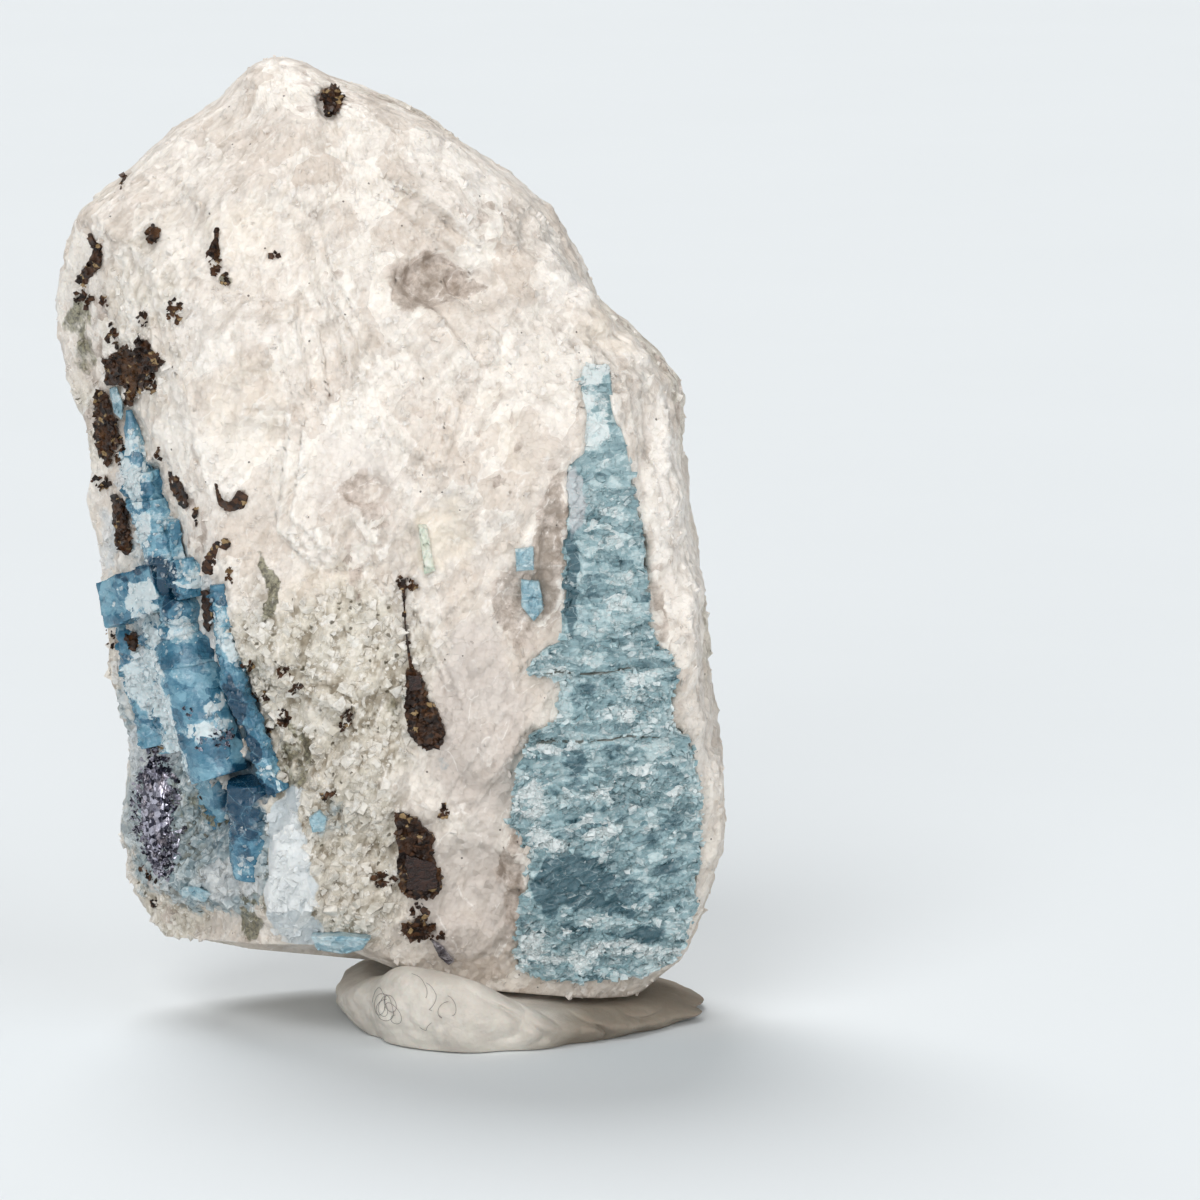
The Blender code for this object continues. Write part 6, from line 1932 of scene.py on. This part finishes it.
# Each fibre: place round the pad in degrees, height up its side, run round, run up, number of loops,
# their half width in degrees and half height.
LINT = [
    (-134.0, 0.52, 6.0, -0.12, 2.3, 4.5, 0.13),
    (-131.0, 0.42, 5.0, 0.10, 1.7, 3.5, 0.10),
    (-128.0, 0.46, 4.0, -0.16, 1.3, 3.0, 0.08),
    (-121.0, 0.84, 5.0, -0.22, 0.7, 2.0, 0.05),
    (-115.0, 0.76, 3.0, -0.34, 1.2, 1.6, 0.04),
    (-112.0, 0.40, 4.0, 0.12, 0.8, 2.0, 0.05),
    (-118.0, 0.26, 6.0, 0.05, 0.6, 1.5, 0.04),
    (-108.0, 0.62, 2.0, -0.18, 0.9, 1.2, 0.04),
]


def lint_line(place, height, run_round, run_up, loops, half_width, half_height):
    """A curl on the pad: place + run * t + half size * (sine, cosine) of the loops, read in the rows
    and columns of the pad's grid and lifted just clear of it."""
    t = np.linspace(0.0, 1.0, LINT_STEPS)
    swing = 2.0 * math.pi * loops * t + place
    angle = np.radians(place + run_round * t + half_width * np.sin(swing) * (0.6 + 0.4 * t))
    column = (angle + math.pi) / (2.0 * math.pi) * PUTTY_TURNS
    row = 6 + 39.0 * np.clip(height + run_up * t + half_height * np.cos(swing), 0.05, 0.95)
    row0, column0 = row.astype(int), column.astype(int) % PUTTY_TURNS
    part_row, part_column = (row - row0)[:, None], (column - np.floor(column))[:, None]
    column1 = (column0 + 1) % PUTTY_TURNS
    lower = pad[row0, column0] * (1 - part_column) + pad[row0, column1] * part_column
    upper = pad[row0 + 1, column0] * (1 - part_column) + pad[row0 + 1, column1] * part_column
    return lower * (1 - part_row) + upper * part_row + 0.03 * grid_normals(pad)[0][row0, column0]


def tube(line, radius):
    """A five-sided tube along a line."""
    along = np.gradient(line, axis=0)
    along /= np.linalg.norm(along, axis=1, keepdims=True)
    across = np.cross(along, (0.0, 0.0, 1.0))
    across /= np.maximum(np.linalg.norm(across, axis=1, keepdims=True), 1e-6)
    upwards = np.cross(across, along)
    angle = np.linspace(0.0, 2.0 * math.pi, 5, endpoint=False)[:, None]
    ring = across[:, None] * np.cos(angle) + upwards[:, None] * np.sin(angle)
    return closed_grid((line[:, None] + radius * ring)[::-1])


lint_finish = Finish("grey lint", roughness=0.8)
lint_tone = lint_finish.noise(0.6)
lint_finish.wire("Base Color", lint_finish.blend(lint_tone, linear(92, 90, 90), linear(140, 136, 132)))
lint = joined([tube(lint_line(*fibre), LINT_RADIUS) for fibre in LINT])
make_piece("lint_on_putty", lint, lint_finish.material, [])
